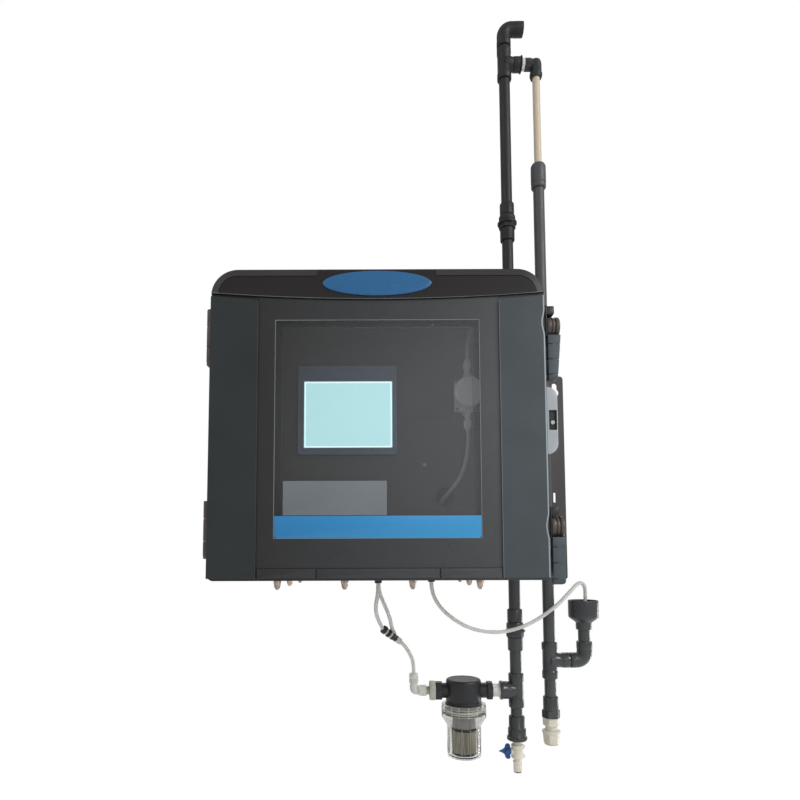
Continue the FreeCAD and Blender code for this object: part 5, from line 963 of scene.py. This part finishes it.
y_piece = make("y_body", merge(y_turned((0.006, 0.0046), (0.0062, 0.006), (0.0098, 0.006), (0.01, 0.0046)),
        y_turned((0.016, 0.0046), (0.0162, 0.0062), (0.0196, 0.0062), (0.0198, 0.0046)),
        y_turned((0.031, 0.0056), (0.0408, 0.0052), (0.0409, 0.0036))), milky, ["y_connector"])
make("y_rings", merge(
        y_turned((0.0001, 0.004), (0.0004, 0.0068), (0.005, 0.0072), (0.0062, 0.007), (0.0063, 0.0046)),
        y_turned((0.0099, 0.005), (0.0101, 0.0056), (0.0122, 0.0056), (0.0124, 0.0071), (0.0158, 0.0071),
            (0.016, 0.005)), y_turned((0.0196, 0.005), (0.0198, 0.0064), (0.025, 0.0064), (0.0252, 0.0056),
            (0.0312, 0.0056), (0.0313, 0.005))), ring_dark)
y_reach = (Y_MIDDLE - Y_BRANCH).length
make("y_branch",
    lathe(((0, 0.0036), (0.0004, 0.0045), (y_reach, 0.0046)), Y_BRANCH, Y_MIDDLE - Y_BRANCH, 0.0002, 40),
    milky)

# Under the cabinet: dome nuts and tube fittings

STUDS = [(side * 0.14, y) for side in (-1, 1) for y in (-0.268, -0.163, -0.052)]
STUDS += [(side * 0.047, -0.268) for side in (-1, 1)]


def dome_nut(x, y):
    """From the domed end, up through the gland plate, to the stud's head inside."""
    return lathe(((-0.224, 0.0004), (-0.2238, 0.0016), (-0.2228, 0.0027), (-0.2205, 0.0039), (-0.218, 0.0045),
            (-0.2151, 0.0047), (-0.2149, 0.0052, 0.0055), (-0.2088, 0.0053, 0.0055), (-0.2086, 0.0068),
            (-0.2081, 0.0068), (-0.208, 0.003), (-0.201, 0.003), (-0.201, 0.0055), (-0.1984, 0.0052),
            (-0.198, 0.004)), (x, y, 0), (0, 0, 1), 0.0001, 36)


make("dome_nuts", merge(*[dome_nut(*place) for place in STUDS]), warm_steel, ["gland_nuts"])
PORTS = ((-0.002, -0.166), (-0.002, -0.124), (0.084, -0.124))


def bulkhead(x, y):
    """Tube fitting through the gland plate: collet, hexagons below and above, and collet inside."""
    return lathe(((-0.22, 0.004), (-0.2198, 0.0054), (-0.218, 0.0058), (-0.2175, 0.0052), (-0.2168, 0.0052),
            (-0.216, 0.006), (-0.2134, 0.006), (-0.213, 0.0078, 0.008), (-0.2084, 0.0078, 0.008),
            (-0.208, 0.0055), (-0.205, 0.0055), (-0.2048, 0.0078, 0.008), (-0.2003, 0.0078, 0.008),
            (-0.2, 0.006), (-0.192, 0.006), (-0.191, 0.005)), (x, y, 0), (0, 0, 1), 0.0001, 60)


make("bulkhead_fittings", merge(*[bulkhead(*place) for place in PORTS]), fitting_black, ["bulkheads"])

# Pipe clamps

CLAMP_FRONT, CLAMP_BACK = -0.063, -0.003


def clamp(x, z, half_w, half_h, pocket=None):
    """A rounded block, with a recess in its face where a pocket is given as left, right, bottom and top."""
    round_by = min(half_w, half_h) * 0.9

    def outline(inset, y):
        radii = (round_by - inset,) * 4
        return at(rounded(x - half_w + inset, x + half_w - inset, z - half_h + inset, z + half_h - inset,
            radii), y)
    loops = [outline(0, CLAMP_BACK), outline(0, CLAMP_FRONT + 0.002), outline(0.0006, CLAMP_FRONT + 0.0006),
        outline(0.002, CLAMP_FRONT)]
    if pocket:
        hole = rounded(*pocket, (0.0015,) * 4)
        loops += [at(hole, CLAMP_FRONT), at(hole, CLAMP_FRONT + 0.0045)]
    return shell(loops)


POCKET = (0.2995, 0.3135, 0.043, 0.079)
pocket_left, pocket_right, pocket_low, pocket_high = POCKET
make("clamp_blocks", merge(clamp(RISER, 0.061, 0.014, 0.022), clamp(RISER, -0.15, 0.014, 0.022),
        clamp(DRAIN, -0.15, 0.02, 0.02), clamp(DRAIN, 0.061, 0.02, 0.06, POCKET)), clamp_grey,
    ["pipe_clamps"])
# A dark sheet at the back of the clamp's recess: painted shade
make("clamp_pocket", pad(pocket_left + 0.0002, pocket_right - 0.0002, pocket_low + 0.0002,
        pocket_high - 0.0002, (0.0013,) * 4, CLAMP_FRONT + 0.0046, CLAMP_FRONT + 0.004, 0.0002), pocket_shade)
make("clamp_screw", lathe(((0, 0.0035), (0.0024, 0.0035), (0.003, 0.0028), (0.003, 0.0016), (0.0018, 0.0015)),
        (0.3065, CLAMP_FRONT + 0.0042, 0.057), (0, -1, 0), 0.0002, 32), white_plastic)


# Camera and cords

FOCAL = 26.1
SHIFT = (0.01875, 0.1425)
CAMERA_PLACE = (0.009, -1.073, -0.178)
CAMERA_PITCH = 4.15
CAMERA_ROLL = -0.2

lens = bpy.data.cameras.new("camera")
lens.lens = FOCAL
lens.shift_x, lens.shift_y = SHIFT
camera = placed("camera", lens)
camera.matrix_world = (Matrix.Translation(CAMERA_PLACE) @ Matrix.Rotation(math.radians(90 + CAMERA_PITCH), 4,
        "X") @ Matrix.Rotation(math.radians(CAMERA_ROLL), 4, "Z"))
bpy.context.scene.camera = camera

TUBE_OD = 0.00635
LEFT_ROUTE = ((-0.002, -0.166, -0.22), (-0.002, -0.166, -0.236), (-0.007, -0.145, -0.259),
    (-0.0045, -0.112, -0.28), (0.0045, -0.084, -0.3))
RIGHT_ROUTE = ((-0.002, -0.124, -0.22), (-0.002, -0.124, -0.232), (0.004, -0.115, -0.25),
    (0.014, -0.1, -0.273), (0.0185, -0.087, -0.29), (0.021, -0.076, -0.3045))
LOWER_ROUTE = ((0.0345, -0.07, -0.324), (0.042, -0.066, -0.331), (0.05, -0.06, -0.344),
    (0.056, -0.052, -0.357), (0.058, -0.045, -0.3715), (0.058, -0.045, -0.381))
DRAIN_ROUTE = ((0.084, -0.124, -0.22), (0.084, -0.124, -0.237), (0.099, -0.108, -0.263),
    (0.121, -0.098, -0.2825), (0.147, -0.09, -0.298), (0.177, -0.082, -0.3065), (0.211, -0.077, -0.3075),
    (0.245, -0.075, -0.2985), (0.276, -0.072, -0.283), (0.306, -0.068, -0.262), (0.33, -0.06, -0.24),
    (0.342, -0.054, -0.229), (0.352, -0.049, -0.225), (0.3595, -0.046, -0.2305), (0.361, -0.045, -0.243),
    (0.3605, -0.045, -0.256), (0.36, -0.045, -0.268))


def tube(name, route, node):
    """A free tube along its route, as a curve riding on the cabinet in place of its node."""
    line = bpy.data.curves.new(name, "CURVE")
    line.dimensions = "3D"
    line.bevel_depth = TUBE_OD / 2
    line.bevel_resolution = 7
    line.resolution_u = 28
    line.use_fill_caps = True
    spline = line.splines.new("NURBS")
    spline.points.add(len(route) - 1)
    for point, place in zip(spline.points, route):
        point.co = (*place, 1)
    spline.order_u = 3
    spline.use_endpoint_u = True
    line.materials.append(clear_tube)
    piece = placed(name, line)
    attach(piece, "cabinet")
    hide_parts(node)
    return piece


tube("tube_left", LEFT_ROUTE, "sample_tube_left")
tube("tube_right", RIGHT_ROUTE, "sample_tube_right")
tube("tube_lower", LOWER_ROUTE, "sample_tube_lower")
tube("tube_drain", DRAIN_ROUTE, "drain_hose")


# Light, floor and backdrop

FLOOR_Z = -1.0
AMBIENT = 0.5
STRIP_PLACE, STRIP_AIM = (1.12, 0.4, -0.6), (0.26, -0.045, -0.4)
STRIP_SIZE = (0.05, 0.62)
STRIP_ENERGY = 2.5


def lamp(name, place, size, level):
    """An area lamp aimed at the cabinet that adds this share of a plain level there."""
    light = bpy.data.lights.new(name, "AREA")
    light.shape = "DISK"
    light.size = size
    aimed(placed(name, light), place, (0, 0, 0))
    light.energy = level * math.pi ** 2 * Vector(place).length_squared


lamp("key", (3.6, -2.9, 2.6), 2.2, 0.4)
lamp("fill", (-3.2, -2.4, 2.6), 2.2, 0.1)
lamp("sheen", (1.2, -2.8, 0.7), 1.4, 0.08)
lamp("back", (0.5, 2.2, 1.6), 1.6, 0.2)

strip = bpy.data.lights.new("strip", "AREA")
strip.shape = "RECTANGLE"
strip.size, strip.size_y = STRIP_SIZE
strip.energy = STRIP_ENERGY
aimed(placed("strip", strip), STRIP_PLACE, STRIP_AIM)

world = bpy.data.worlds.new("world")
bpy.context.scene.world = world
world.use_nodes = True
ground = world.node_tree
seen = ground.nodes.new("ShaderNodeLightPath")
straight = ground.nodes.new("ShaderNodeMath")
straight.operation = "MAXIMUM"
level = ground.nodes.new("ShaderNodeMapRange")
level.inputs["To Min"].default_value = AMBIENT
level.inputs["To Max"].default_value = 1.0
ground.links.new(seen.outputs["Is Camera Ray"], straight.inputs[0])
ground.links.new(seen.outputs["Is Transmission Ray"], straight.inputs[1])
ground.links.new(straight.outputs[0], level.inputs["Value"])
sky = ground.nodes["Background"]
sky.inputs["Color"].default_value = (1, 1, 1, 1)
ground.links.new(level.outputs["Result"], sky.inputs["Strength"])

FLOOR_SHADOW = 0.04
FLOOR_LEVEL = 1.021

sheet = bpy.data.meshes.new("floor")
sheet.from_pydata([(-40, -40, FLOOR_Z), (40, -40, FLOOR_Z), (40, 40, FLOOR_Z), (-40, 40, FLOOR_Z)], [],
    [(0, 1, 2, 3)])
floor = placed("floor", sheet)
look = Graph("floor_look")
look.shader.inputs["Base Color"].default_value = (0.9, 0.9, 0.9, 1)
look.shader.inputs["Roughness"].default_value = 0.9
plain = look.add("ShaderNodeEmission")
plain.inputs["Strength"].default_value = FLOOR_LEVEL
ray = look.add("ShaderNodeLightPath")
share = look.ranged(ray.outputs["Is Camera Ray"], 0, 1 - FLOOR_SHADOW, 0, 1)
blend = look.add("ShaderNodeMixShader")
look.link(share, blend.inputs["Fac"])
look.link(look.shader.outputs["BSDF"], blend.inputs[1])
look.link(plain.outputs["Emission"], blend.inputs[2])
look.link(blend.outputs["Shader"], look.tree.nodes["Material Output"].inputs["Surface"])
sheet.materials.append(look.material)

bpy.context.scene.view_settings.view_transform = "Standard"
